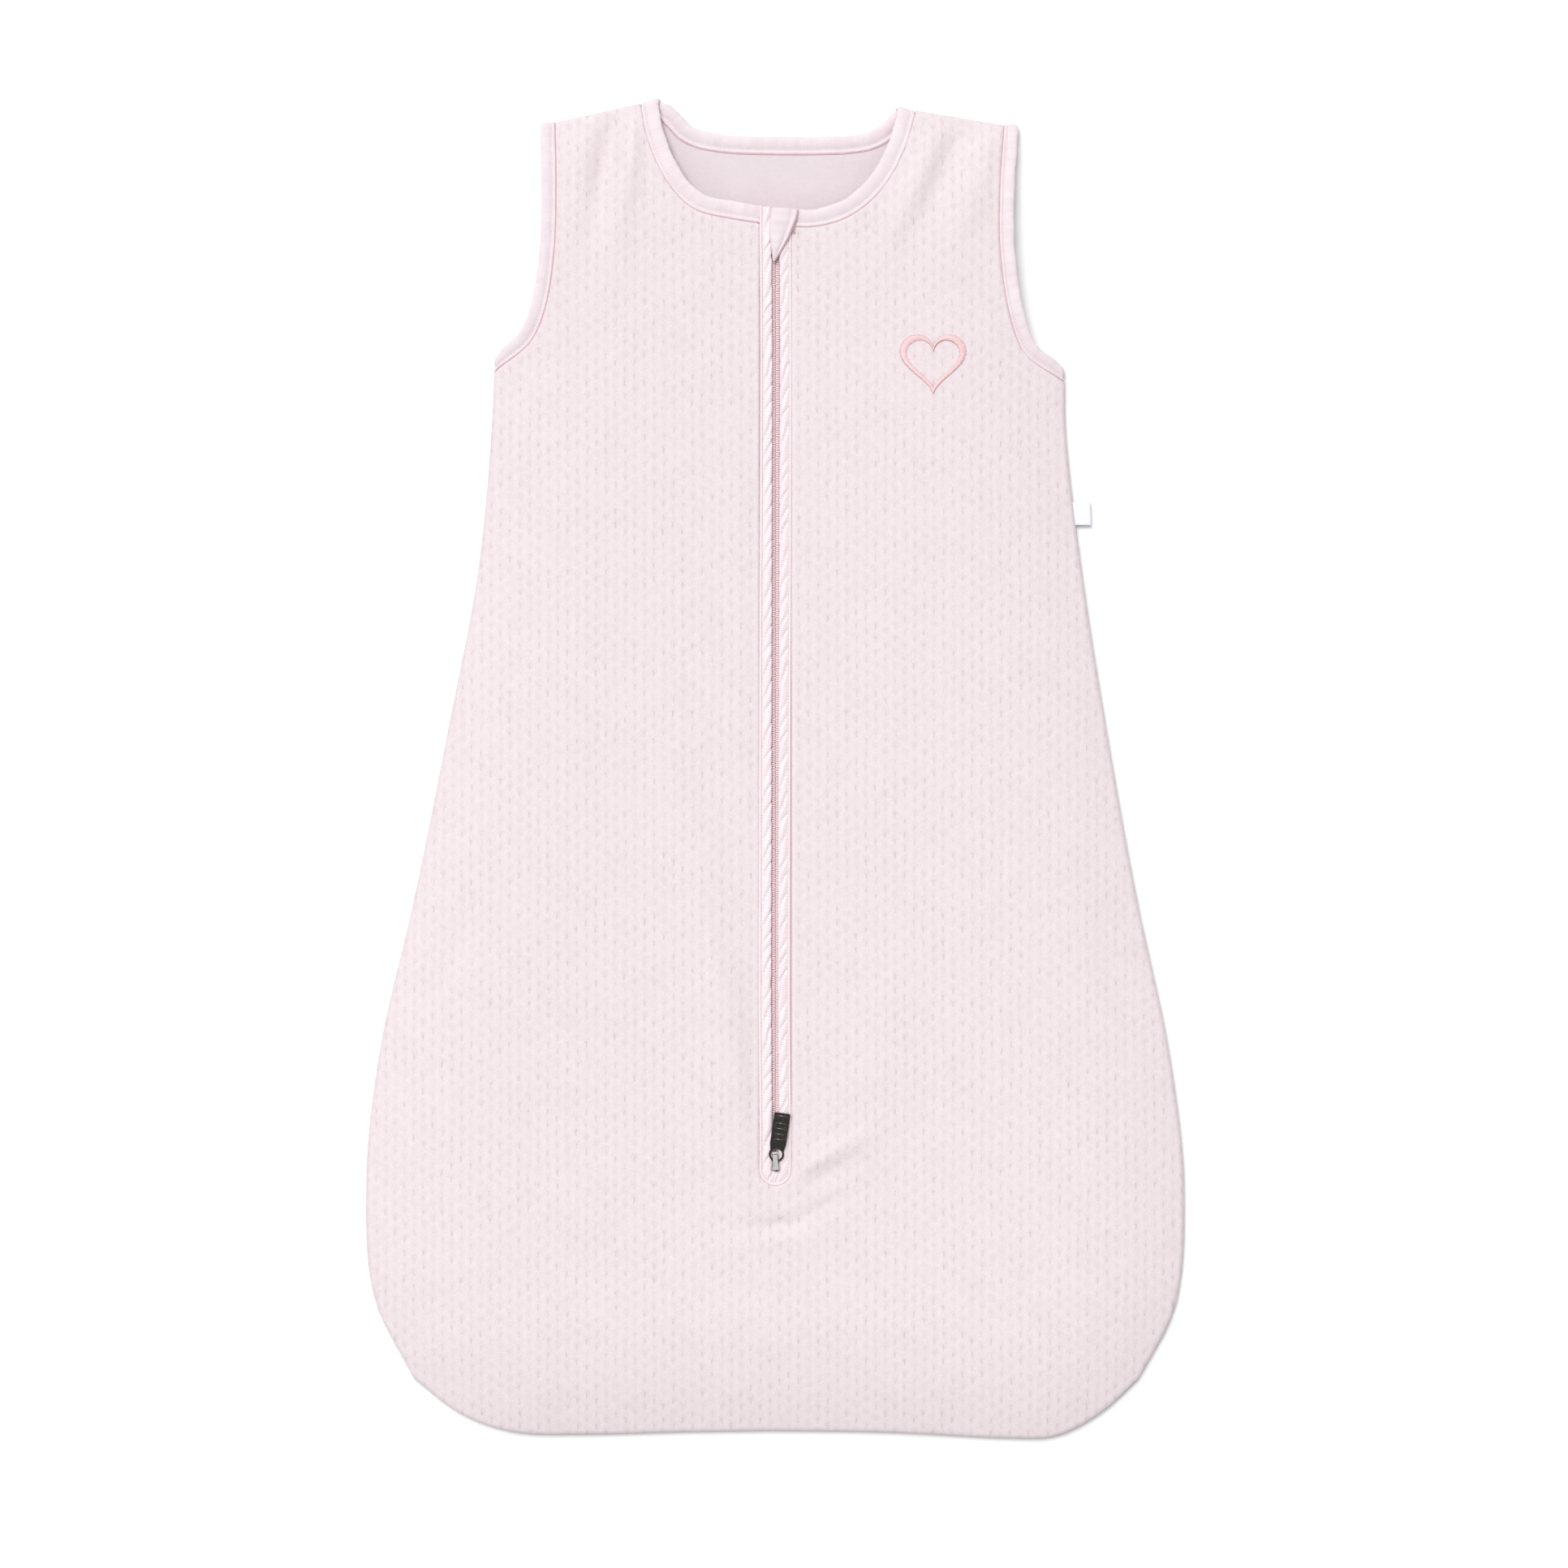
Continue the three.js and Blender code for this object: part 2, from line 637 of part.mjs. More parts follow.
// A heart worked as one satin-stitched line: the curve's points on either side of its middle.
function heartPoint(turn, scale) {
  const x = 16 * Math.sin(turn) ** 3;
  const y = 13 * Math.cos(turn) - 5 * Math.cos(2 * turn) - 2 * Math.cos(3 * turn) - Math.cos(4 * turn);
  return new THREE.Vector2(MOTIF.x + (x * scale) / 16, MOTIF.y + ((y + 2) * scale) / 16);
}

function heartRing(offset) {
  const steps = 36;
  return Array.from({ length: steps }, (_, i) => {
    const turn = (2 * Math.PI * i) / steps;
    return heartPoint(turn, MOTIF.size + offset);
  });
}

function onFront(geometry, lift) {
  const position = geometry.attributes.position;
  for (let i = 0; i < position.count; i++) {
    const [x, y, z] = [position.getX(i), position.getY(i), position.getZ(i)];
    position.setZ(i, frontTop(x, y) + lift + z);
  }
  return geometry;
}

function embroideredHeart() {
  const shape = new THREE.Shape(heartRing(MOTIF.stroke / 2));
  shape.holes.push(new THREE.Path(heartRing(-MOTIF.stroke / 2).reverse()));
  return onFront(extruded(shape, 0, MOTIF.thick), GAP);
}

function embroideryBacking() {
  const [wide, tall, thick] = [40, 36, 0.4];
  const patch = new THREE.BoxGeometry(wide, tall, thick, 5, 5, 1);
  patch.translate(MOTIF.x, MOTIF.y, 0);
  return onFront(patch, -KNIT - GAP - thick / 2);
}

// ---- assembly ----
add(bag, "back_panel", backPanel(), knit);
add(bag, "front_panel", frontPanel(), knit);
add(bag, "neck_binding", neckBinding(), jersey);
for (const side of sides) {
  add(bag, `armhole_binding_${side}`, armholeBinding(side), jersey);
  add(bag, `shoulder_seam_${side}`, shoulderSeam(side), thread);
}
add(bag, "side_and_foot_seam", sideAndFootSeam(), thread);
add(bag, "side_label", sideLabel(), lining);
add(bag, "embroidered_heart", embroideredHeart(), thread);
add(bag, "embroidery_backing", embroideryBacking(), lining);

add(zip, "zip_facing", zipFacing(), satin);
for (const side of sides) {
  add(zip, `zip_tape_${side}`, bar(side, TAPE, TAPE_FOOT, ZIP_LENGTH - 3), tapePink);
  add(zip, `zip_coil_${side}`, coil(side), nylon);
  const stop = { ...COIL, low: COIL.low - 0.1, high: COIL.high + 0.1 };
  add(zip, `zip_foot_stop_${side}`, bar(side, stop, COIL_FOOT - 3.3, COIL_FOOT - GAP), nylon);
}
const pin = { inner: 0.5, outer: 2.1, low: -3.9, high: -2 };
add(zip, "zip_pin", bar("left", pin, COIL_NECK + GAP, COIL_NECK + 9), nylon);
add(zip, "zip_retainer_box", retainerBox(), nylon);
add(zip, "zip_guard", zipGuard(), jersey);

add(zip, "slider_body", sliderBody(), nickel);
const crown = add(zip, "slider_crown", sliderCrown(), nickel);
crown.position.set(0, PIVOT.y, PIVOT.z);
crown.rotation.z = THREE.MathUtils.degToRad(CROWN.lean);
const pull = add(zip, "pull_tab", pullTab(), gunmetal);
pull.position.set(0, PIVOT.y, PIVOT.z);
pull.rotation.z = -THREE.MathUtils.degToRad(PULL.lean);

export default bag;
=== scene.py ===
"""A sleeveless baby sleeping bag in pale pink padded knit, laid flat and seen from straight above."""

import math

import bmesh
import bpy
import numpy as np
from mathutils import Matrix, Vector
from mathutils.bvhtree import BVHTree


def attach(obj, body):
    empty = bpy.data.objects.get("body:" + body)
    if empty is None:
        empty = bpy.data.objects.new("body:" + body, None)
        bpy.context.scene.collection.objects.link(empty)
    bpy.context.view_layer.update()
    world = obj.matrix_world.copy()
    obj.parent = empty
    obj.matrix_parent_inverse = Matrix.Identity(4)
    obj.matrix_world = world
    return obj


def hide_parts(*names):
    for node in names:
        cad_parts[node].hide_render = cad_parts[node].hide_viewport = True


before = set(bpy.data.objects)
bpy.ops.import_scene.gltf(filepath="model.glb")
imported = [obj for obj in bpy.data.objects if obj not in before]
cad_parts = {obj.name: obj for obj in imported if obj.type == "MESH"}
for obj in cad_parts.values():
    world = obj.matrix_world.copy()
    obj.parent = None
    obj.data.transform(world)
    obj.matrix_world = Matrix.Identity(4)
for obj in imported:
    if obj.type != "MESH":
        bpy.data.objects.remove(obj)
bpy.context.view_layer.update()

MM = 0.001  # everything below is worked out in millimetres and scaled when a mesh is made
RANDOM = np.random.default_rng(7)

# ---- driving dimensions, the same as the frame's ----
KNIT = 2.4
SEAM_TOP = 5.1
RISE_FOOT, RISE_NECK = 18.0, 14.5
DOME_REACH, DOME_POWER = 75.0, 2.5  # the panel rises over this reach from its seams
ARMHOLE_SHARE, ARMHOLE_REACH = 0.8, 40.0
ZIP_X, ZIP_FOOT_Y, ZIP_NECK_Y = 0.2, -204.0, 290.0
SLOT_HALF, SLOT_END_Y = 8.2, -208.3
SLOPE = (RISE_NECK - RISE_FOOT) / (ZIP_NECK_Y - ZIP_FOOT_Y)

# ---- outline, seen from above ----
NECK_FRONT = [
    (-70.3, 346.6), (-66.2, 327), (-56, 304.6), (-42.6, 290.8), (-22, 285.3), (0, 282.5),
    (21, 281.3), (40.4, 287.6), (56.5, 302), (67.6, 322.5), (73.5, 343),
]
NECK_BACK = [
    (-70.3, 346.6), (-63, 341), (-56.4, 335), (-50, 328.4), (-41.5, 324.1), (-26, 321.2),
    (0, 320.2), (26, 320.3), (40, 321), (52, 323.4), (62, 329.3), (73.5, 343),
]
ARMHOLE = {
    -1: [(-114.8, 336.6), (-114, 300), (-115, 268), (-119.9, 238), (-127.5, 221.5), (-146.4, 207)],
    1: [(119.5, 335.2), (117, 300), (117.2, 268), (122.5, 234), (130.5, 215), (151, 201.5)],
}
SIDE = {
    -1: [
        (-146.4, 207), (-147.6, 180), (-154.6, 104), (-170.5, 20), (-187.5, -65), (-206.4, -149),
        (-213.2, -215), (-209, -276), (-188.5, -318),
    ],
    1: [
        (151, 201.5), (151.2, 178), (159.7, 104), (172.8, 20), (188, -65), (205.6, -149),
        (213.2, -218), (208.6, -280), (189.5, -318),
    ],
}
HEM = {
    -1: [(-188.5, -318), (-164, -336.6), (-137, -346), (-100, -347.2), (-50, -346), (0, -345.3)],
    1: [(189.5, -318), (170, -335.8), (146, -348.4), (124, -349.3), (60, -346.2), (0, -345.3)],
}
LEFT, RIGHT = -1, 1
SIDES = ((LEFT, "left"), (RIGHT, "right"))


def along_of(line):
    """The distance along a line at each of its points."""
    return np.concatenate([[0], np.cumsum(np.linalg.norm(np.diff(line, axis=0), axis=1))])


def at_distances(line, distances):
    """The points at these distances along a line."""
    at = along_of(line)
    return np.stack([np.interp(distances, at, line[:, k]) for k in range(line.shape[1])], axis=1)


def resampled(line, count):
    """count + 1 points spaced evenly along a line of points."""
    return at_distances(line, np.linspace(0, along_of(line)[-1], count + 1))


def spline(points, count):
    """A centripetal Catmull-Rom curve through the points, as count + 1 evenly spaced points."""
    p = np.array(points, float)
    p = np.vstack([2 * p[0] - p[1], p, 2 * p[-1] - p[-2]])
    fine = []
    for a, b, c, d in zip(p[:-3], p[1:-2], p[2:-1], p[3:]):
        t0 = 0.0
        t1 = t0 + math.sqrt(np.linalg.norm(b - a))
        t2 = t1 + math.sqrt(np.linalg.norm(c - b))
        t3 = t2 + math.sqrt(np.linalg.norm(d - c))
        t = np.linspace(t1, t2, 24, endpoint=False)[:, None]
        ab = ((t1 - t) * a + (t - t0) * b) / (t1 - t0)
        bc = ((t2 - t) * b + (t - t1) * c) / (t2 - t1)
        cd = ((t3 - t) * c + (t - t2) * d) / (t3 - t2)
        abc = ((t2 - t) * ab + (t - t0) * bc) / (t2 - t0)
        bcd = ((t3 - t) * bc + (t - t1) * cd) / (t3 - t1)
        fine.append(((t2 - t) * abc + (t - t1) * bcd) / (t2 - t1))
    return resampled(np.vstack([*fine, p[-2:-1]]), count)


def unit(v):
    """Each vector of an array, or the one vector, at length 1."""
    return v / np.linalg.norm(v, axis=-1, keepdims=True)


def normals_of(line):
    """The left unit normal of a flat line at each of its points."""
    step = np.gradient(line, axis=0)
    return unit(np.stack([-step[:, 1], step[:, 0]], axis=1))


ARMHOLE_LINE = {side: spline(ARMHOLE[side], 160) for side in (LEFT, RIGHT)}
SIDE_LINE = {side: spline(SIDE[side], 120) for side in (LEFT, RIGHT)}
HEM_LINE = {side: spline(HEM[side], 60) for side in (LEFT, RIGHT)}
NECK_FRONT_LINE = spline(NECK_FRONT, 220)
NECK_BACK_LINE = spline(NECK_BACK, 180)
SHOULDER_LINE = {
    LEFT: np.array([NECK_FRONT_LINE[0], ARMHOLE_LINE[LEFT][0]]),
    RIGHT: np.array([NECK_FRONT_LINE[-1], ARMHOLE_LINE[RIGHT][0]]),
}


# ---- the front panel's height ----
def distance_to(line, xy):
    """How far flat points are from a line."""
    nearest = np.full(len(xy), np.inf)
    for a, b in zip(line[:-1], line[1:]):
        step = b - a
        t = np.clip((xy - a) @ step / max(step @ step, 1e-9), 0, 1)
        nearest = np.minimum(nearest, np.linalg.norm(xy - a - t[:, None] * step, axis=1))
    return nearest


def from_seam(xy):
    """How far flat points are from the side, foot and shoulder seams."""
    lines = [SIDE_LINE[s][::4] for s in (LEFT, RIGHT)] + [HEM_LINE[s][::3] for s in (LEFT, RIGHT)]
    lines += [SHOULDER_LINE[s] for s in (LEFT, RIGHT)]
    return np.min([distance_to(line, xy) for line in lines], axis=0)


def rise_at(y):
    """The height of the panel's flat middle, which slopes evenly from the foot to the neck."""
    return RISE_FOOT + SLOPE * (y - ZIP_FOOT_Y)


def front_top(xy):
    """The height of the front panel's outer face, before its folds."""
    seam = from_seam(xy)
    armhole = np.min([distance_to(ARMHOLE_LINE[s][::8], xy) for s in (LEFT, RIGHT)], axis=0)
    dome = 1 - (1 - np.minimum(1, seam / DOME_REACH)) ** DOME_POWER
    near = 1 - np.minimum(1, armhole / ARMHOLE_REACH)
    lift = 1 - (1 - ARMHOLE_SHARE) * near**2
    return SEAM_TOP + (rise_at(xy[:, 1]) - SEAM_TOP) * dome * lift


# Soft folds of the cloth as it lies: (x, y, heading in degrees, half length, half width, height).
FOLDS = [
    (-26, -130, 99, 66, 11, 2.7),
    (-46, -50, 98, 95, 14, 1.5),
    (26, -201, 27, 22, 5.0, 2.3),
    (24, -213, 25, 20, 5.5, -0.9),
    (2, -237, 4, 14, 3.6, -2.1),
    (24, -228, 25, 16, 4.0, -1.3),
    (-8, -246, 6, 26, 6, 0.8),
    (52, -150, 75, 70, 16, 0.8),
    (-88, 318, 80, 38, 6.5, -4.0),
    (-75, 317, 81, 40, 6.0, 3.0),
    (-100, 325, 84, 30, 8, 1.5),
    (90, 318, 68, 36, 7.5, -3.6),
    (77, 308, 62, 36, 7.5, 2.3),
    (104, 300, 72, 34, 8, 1.8),
    (-168, -95, 62, 30, 8, -1.0),
    (176, -110, 118, 30, 8, -1.2),
    (158, -60, 112, 34, 9, 0.8),
    (-60, 150, 93, 90, 20, 0.6),
    (70, 90, 86, 110, 22, 0.6),
    (-18, 80, 91, 120, 7, 0.5),
    (-110, -230, 30, 60, 18, 0.7),
    (110, -250, 150, 60, 18, 0.7),
    (0, -290, 2, 90, 14, 0.6),
]


def folds_at(xy):
    """The height that the folds add at flat points."""
    height = np.zeros(len(xy))
    for x, y, heading, long, wide, tall in FOLDS:
        turn = math.radians(heading)
        along = (xy[:, 0] - x) * math.cos(turn) + (xy[:, 1] - y) * math.sin(turn)
        across = (xy[:, 1] - y) * math.cos(turn) - (xy[:, 0] - x) * math.sin(turn)
        height += tall * np.exp(-((along / long) ** 2) - (across / wide) ** 2)
    return height


def waves(at, wavelength, count=4):
    """A smooth random-looking height of about -1 to 1 over a line or a plane of points."""
    at = np.atleast_2d(np.asarray(at, float).T).T
    total = np.zeros(len(at))
    for _ in range(count):
        way = RANDOM.normal(size=at.shape[1])
        way /= np.linalg.norm(way)
        length = wavelength * RANDOM.uniform(0.6, 1.7)
        total += np.sin(at @ way * (2 * math.pi / length) + RANDOM.uniform(0, 2 * math.pi))
    return total / math.sqrt(2 * count)


# ---- meshes ----
def new_piece(name, points, faces, body, material, replaces=()):
    """A visual piece made from points in millimetres, riding on a body of the frame."""
    mesh = bpy.data.meshes.new(name)
    mesh.from_pydata((np.asarray(points) * MM).tolist(), [], faces)
    mesh.validate()
    mesh.shade_smooth()
    piece = bpy.data.objects.new(name, mesh)
    bpy.context.scene.collection.objects.link(piece)
    mesh.materials.append(material)
    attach(piece, body)
    if replaces:
        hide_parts(*replaces)
    return piece


def grid_faces(rows, columns, start=0, wrap=False):
    """Quads over a grid of points stored row by row; wrap joins the last column to the first."""
    faces = []
    for i in range(rows - 1):
        for k in range(columns if wrap else columns - 1):
            m = (k + 1) % columns
            a, b = start + i * columns, start + (i + 1) * columns
            faces.append((a + k, a + m, b + m, b + k))
    return faces


def solid_faces(rows, columns, start=0):
    """The faces of a closed section carried from row to row, with both its ends closed."""
    last = start + (rows - 1) * columns
    ends = [tuple(range(start, start + columns)), tuple(range(last + columns - 1, last - 1, -1))]
    return grid_faces(rows, columns, start, wrap=True) + ends


def face_outward(piece, join_within=None):
    """Turns a closed piece's faces outward, after joining points nearer than a distance in metres."""
    work = bmesh.new()
    work.from_mesh(piece.data)
    if join_within:
        bmesh.ops.remove_doubles(work, verts=work.verts, dist=join_within)
    bmesh.ops.recalc_face_normals(work, faces=work.faces)
    work.to_mesh(piece.data)
    work.free()


CORNERS = [line[0] for side in (LEFT, RIGHT) for line in (SHOULDER_LINE[side], SIDE_LINE[side])]


def subdivided(piece, levels):
    """A smoother piece, with the outline's corners kept."""
    sharp = piece.data.attributes.new("crease_vert", "FLOAT", "POINT")
    flat = points_of(piece.data)[:, :2]
    for corner in CORNERS:
        far = np.linalg.norm(flat - corner, axis=1)
        if far.min() < 1:
            sharp.data[int(np.argmin(far))].value = 1.0
    modifier = piece.modifiers.new("Subdivision", "SUBSURF")
    modifier.levels = modifier.render_levels = levels
    modifier.boundary_smooth = "PRESERVE_CORNERS"
    bpy.ops.object.select_all(action="DESELECT")
    piece.select_set(True)
    bpy.context.view_layer.objects.active = piece
    bpy.ops.object.modifier_apply(modifier=modifier.name)


def points_of(mesh):
    """A mesh's points in millimetres."""
    flat = np.zeros(len(mesh.vertices) * 3, np.float32)
    mesh.vertices.foreach_get("co", flat)
    return flat.reshape(-1, 3).astype(float) / MM


def move_points(mesh, points):
    """Puts a mesh's points at these places in millimetres."""
    mesh.vertices.foreach_set("co", (points * MM).astype(np.float32).ravel())
    mesh.update()


# ---- shader arithmetic, so that a pattern reads as a formula ----
def add_node(tree, kind, inputs, **settings):
    """A new node with these settings, and with its inputs set, or linked to terms and sockets."""
    node = tree.nodes.new(kind)
    for name, value in settings.items():
        setattr(node, name, value)
    for key, value in dict(inputs).items():
        value = value.socket if isinstance(value, Term) else value
        if isinstance(value, bpy.types.NodeSocket):
            tree.links.new(value, node.inputs[key])
        else:
            node.inputs[key].default_value = value
    return node


def operation(name):
    """A method of Term that does one step of arithmetic."""
    return lambda self, *others: self.step(name, *others)


class Term:
    """A number in a node tree that can be added, multiplied and so on."""

    def __init__(self, tree, socket):
        self.tree, self.socket = tree, socket

    def step(self, name, *others):
        node = add_node(self.tree, "ShaderNodeMath", enumerate([self, *others]), operation=name)
        return Term(self.tree, node.outputs[0])

    __add__, __sub__, __mul__ = operation("ADD"), operation("SUBTRACT"), operation("MULTIPLY")
    floor, fract, absolute = operation("FLOOR"), operation("FRACT"), operation("ABSOLUTE")
    modulo = operation("FLOORED_MODULO")

    def wave(self, pitch):
        """A sine that repeats at this pitch."""
        return (self * (2 * math.pi / pitch)).step("SINE")

    def step_between(self, low, high):
        """0 below low, 1 above high, smooth between; low may be above high."""
        inputs = {
            "Value": self, "From Min": min(low, high), "From Max": max(low, high),
            "To Min": float(low > high), "To Max": float(low < high),
        }
        node = add_node(self.tree, "ShaderNodeMapRange", inputs, interpolation_type="SMOOTHSTEP")
        return Term(self.tree, node.outputs["Result"])


class Look:
    """A material with one Principled shader, built from terms in object millimetres."""

    def __init__(self, name, color, roughness, metallic=0.0, sheen=0.0, specular=0.3):
        self.material = bpy.data.materials.new(name)
        self.material.use_nodes = True
        self.tree = self.material.node_tree
        self.painted = (*color, 1)
        self.shader = self.tree.nodes["Principled BSDF"]
        self.shader.inputs["Base Color"].default_value = self.painted
        self.shader.inputs["Roughness"].default_value = roughness
        self.shader.inputs["Metallic"].default_value = metallic
        self.shader.inputs["Specular IOR Level"].default_value = specular
        if sheen:
            self.shader.inputs["Sheen Weight"].default_value = sheen
            self.shader.inputs["Sheen Roughness"].default_value = 0.5

    def place(self):
        """x, y and z of the object in millimetres."""
        coordinate = self.tree.nodes.new("ShaderNodeTexCoord")
        split = add_node(self.tree, "ShaderNodeSeparateXYZ", {0: coordinate.outputs["Object"]})
        return [Term(self.tree, split.outputs[k]) * 1000.0 for k in range(3)]

    def vector(self, *place):
        return add_node(self.tree, "ShaderNodeCombineXYZ", enumerate(place)).outputs[0]

    def noise(self, *place, detail=2.0):
        inputs = {"Scale": 1.0, "Detail": detail, "Vector": self.vector(*place)}
        return Term(self.tree, add_node(self.tree, "ShaderNodeTexNoise", inputs).outputs["Fac"])

    def speckle(self, *place):
        """A random value for each whole place."""
        inputs = {"Vector": self.vector(*place)}
        node = add_node(self.tree, "ShaderNodeTexWhiteNoise", inputs, noise_dimensions="3D")
        return Term(self.tree, node.outputs["Value"])

    def tint(self, share, color):
        """Mixes a colour over the base colour so far, by a share from 0 to 1."""
        inputs = {"Factor": share, "A": self.painted, "B": (*color, 1)}
        self.painted = add_node(self.tree, "ShaderNodeMix", inputs, data_type="RGBA").outputs["Result"]
        self.tree.links.new(self.painted, self.shader.inputs["Base Color"])

    def roughen(self, term):
        self.tree.links.new(term.socket, self.shader.inputs["Roughness"])

    def bump(self, height, depth_mm):
        inputs = {"Strength": 1.0, "Distance": depth_mm * MM, "Height": height}
        node = add_node(self.tree, "ShaderNodeBump", inputs)
        self.tree.links.new(node.outputs["Normal"], self.shader.inputs["Normal"])


def linear(red, green, blue):
    """A colour given as 0-255 display values, as the shader's linear values."""
    return tuple(((c / 255 + 0.055) / 1.055) ** 2.4 for c in (red, green, blue))


DIMPLE_X, DIMPLE_Y = 5.0, 7.0  # pitch of the knit's dimples across and along
# where the tapes' painted shade begins, past the zip's foot
TAPE_SHADE_Y = -209.0


def knit_face():
    """The padded knit: staggered columns of small dimples, with soft blocks and ribs between them;
    painted highlight on the raised parts and painted shade in the low ones.
    """
    look = Look("knit_face", linear(222, 210, 213), 0.95, sheen=0.12, specular=0.15)
    x, y, _ = look.place()
    wander = look.noise(x * 0.03, y * 0.03) - 0.5
    across = (x + wander * 2.2) * (1 / DIMPLE_X)
    column = across.floor()
    down = y * (1 / DIMPLE_Y) + column.modulo(2.0) * 0.5
    chance = look.speckle(column, down.floor())
    dx = (across.fract() - 0.5) * DIMPLE_X + (chance - 0.5) * 0.5
    dy = (down.fract() - 0.5) * DIMPLE_Y
    fuzz = look.noise(x * 1.1, y * 0.7, detail=3.0)
    ragged = (fuzz - 0.5) * 0.8
    narrow = (dx.absolute() + ragged).step_between(0.72, 0.05)
    short = (dy.absolute() + ragged).step_between(2.3, 0.6)
    deep = narrow * short * (chance * 0.95 + 0.15)
    check = across.wave(2.0) * y.wave(DIMPLE_Y)
    uneven = look.noise(x * 0.16, y * 0.16).step_between(0.3, 0.7)
    block = check.step_between(-0.1, 0.75) * (uneven * 0.75 + 0.25)
    hollow = check.step_between(0.1, -0.8) * (uneven * 0.6 + 0.4)
    rib = (across + 0.25).wave(1.0).step_between(-0.3, 0.9) * (uneven * 0.6 + 0.4)
    patch = look.noise(x * 0.09, y * 0.08, detail=1.0).step_between(0.42, 0.6)
    wale = x.wave(0.82) * patch * (hollow * 0.8 + 0.2)
    mottle = look.noise(x * 0.33, y * 0.2, detail=3.0)
    melange = look.noise(x * 0.05, y * 0.05, detail=4.0)
    look.tint(melange.step_between(0.35, 0.7) * 0.35, linear(216, 203, 206))
    look.tint(mottle.step_between(0.4, 0.68) * 0.45, linear(228, 217, 221))
    look.tint(fuzz.step_between(0.42, 0.72) * 0.45, linear(232, 222, 226))
    # Painted highlight: the raised blocks and ribs are tinted lighter.
    look.tint(block * 0.1 + rib * 0.16, linear(238, 230, 234))
    # Painted shade: the hollows, the dimples and the grooves of the wales are tinted darker.
    look.tint(hollow * 0.08, linear(211, 193, 197))
    look.tint(deep * 0.4, linear(206, 172, 178))
    look.tint(wale.step_between(0.0, -0.8) * 0.3, linear(212, 192, 197))
    look.bump(block * 0.04 + rib * 0.07 - deep * 0.22 + wale * 0.07 + fuzz * 0.28 + mottle * 0.5, 0.6)
    return look.material


def knit_reverse():
    """The knit's other face, seen inside the neck."""
    look = Look("knit_reverse", linear(220, 208, 212), 0.95, sheen=0.12, specular=0.15)
    x, y, _ = look.place()
    streak = look.noise(x * 0.3, y * 0.45, detail=3.0)
    cloud = look.noise(x * 0.06, y * 0.06, detail=4.0)
    look.tint(streak.step_between(0.4, 0.7) * 0.25, linear(212, 195, 200))
    look.tint(cloud.step_between(0.4, 0.7) * 0.25, linear(226, 216, 221))
    look.bump(y.wave(0.9) * 0.01 + x.wave(0.85) * 0.03 + streak * 0.25 + cloud * 0.4, 0.45)
    return look.material


def jersey():
    """The soft plain knit of the bands, the guard and the seam allowances."""
    look = Look("jersey", linear(226, 213, 218), 0.9, sheen=0.15, specular=0.2)
    x, y, z = look.place()
    fine = look.noise(x * 1.6, y * 1.6, z * 1.6)
    soft = look.noise(x * 0.12, y * 0.12, z * 0.12, detail=3.0)
    look.tint(soft.step_between(0.35, 0.7) * 0.45, linear(236, 226, 230))
    look.tint(fine.step_between(0.5, 0.8) * 0.3, linear(222, 203, 209))
    look.bump(fine * 0.5 + soft * 0.4, 0.25)
    return look.material


def satin():
    """The smooth, slightly shiny weave of the zip's facing."""
    look = Look("satin", linear(233, 220, 224), 0.38, sheen=0.1, specular=0.5)
    x, y, z = look.place()
    soft = look.noise(x * 0.25, y * 0.12, z * 0.25)
    look.tint(soft.step_between(0.4, 0.75) * 0.4, linear(227, 209, 214))
    look.roughen(soft * 0.16 + 0.30)
    look.bump((x + y).wave(0.42) * 0.05 + soft * 0.5, 0.2)
    return look.material


def sewing_thread(name, color, light):
    """Twisted thread, with a painted highlight on the crown of each twist."""
    look = Look(name, color, 0.6, sheen=0.1)
    x, y, z = look.place()
    twist = (x + y + z).wave(0.3)
    # Painted highlight: the crown of each twist is mixed toward the lighter colour.
    look.tint(twist.step_between(0.0, 1.0) * 0.4, light)
    look.bump(twist, 0.03)
    return look.material


def embroidery_thread():
    """The glossier thread of the heart."""
    look = Look("embroidery_thread", linear(240, 207, 210), 0.45, sheen=0.25, specular=0.5)
    x, y, z = look.place()
    tone = look.noise(x * 1.5, y * 1.5, z)
    look.tint(tone.step_between(0.35, 0.7) * 0.6, linear(229, 186, 190))
    look.roughen(tone * 0.2 + 0.35)
    look.bump(tone, 0.08)
    return look.material


def nylon():
    """The zip's coils and its other moulded parts."""
    look = Look("nylon_coil", linear(255, 233, 236), 0.42, specular=0.5)
    x, y, z = look.place()
    tone = look.noise(x * 2.0, y * 0.4, z)
    look.tint(tone.step_between(0.3, 0.8) * 0.4, linear(255, 223, 227))
    look.roughen(tone * 0.15 + 0.36)
    return look.material


def tape_weave():
    """Herringbone tape, painted dark red past the zip's foot as painted shade under the facing."""
    look = Look("tape_weave", linear(255, 222, 226), 0.85, specular=0.2)
    x, y, _ = look.place()
    weave = (x.wave(1.6) * 0.1671 + y).wave(0.7)
    look.tint(weave.step_between(-0.2, 0.8) * 0.4, linear(252, 210, 216))
    # Painted shade: the tape turns dark red past TAPE_SHADE_Y, under the facing at the zip's foot.
    look.tint(y.step_between(TAPE_SHADE_Y, TAPE_SHADE_Y - 3), linear(186, 84, 98))
    look.bump(weave, 0.12)
    return look.material


def label_satin():
    """The plain white weave of the label and of the heart's backing."""
    look = Look("label_satin", linear(242, 242, 247), 0.5, sheen=0.1, specular=0.4)
    x, y, _ = look.place()
    warp = x.wave(0.35)
    look.tint(warp.step_between(0.0, 1.0) * 0.15, linear(225, 227, 236))
    look.bump(y.wave(0.35) * 0.5 + warp * 0.5, 0.05)
    return look.material


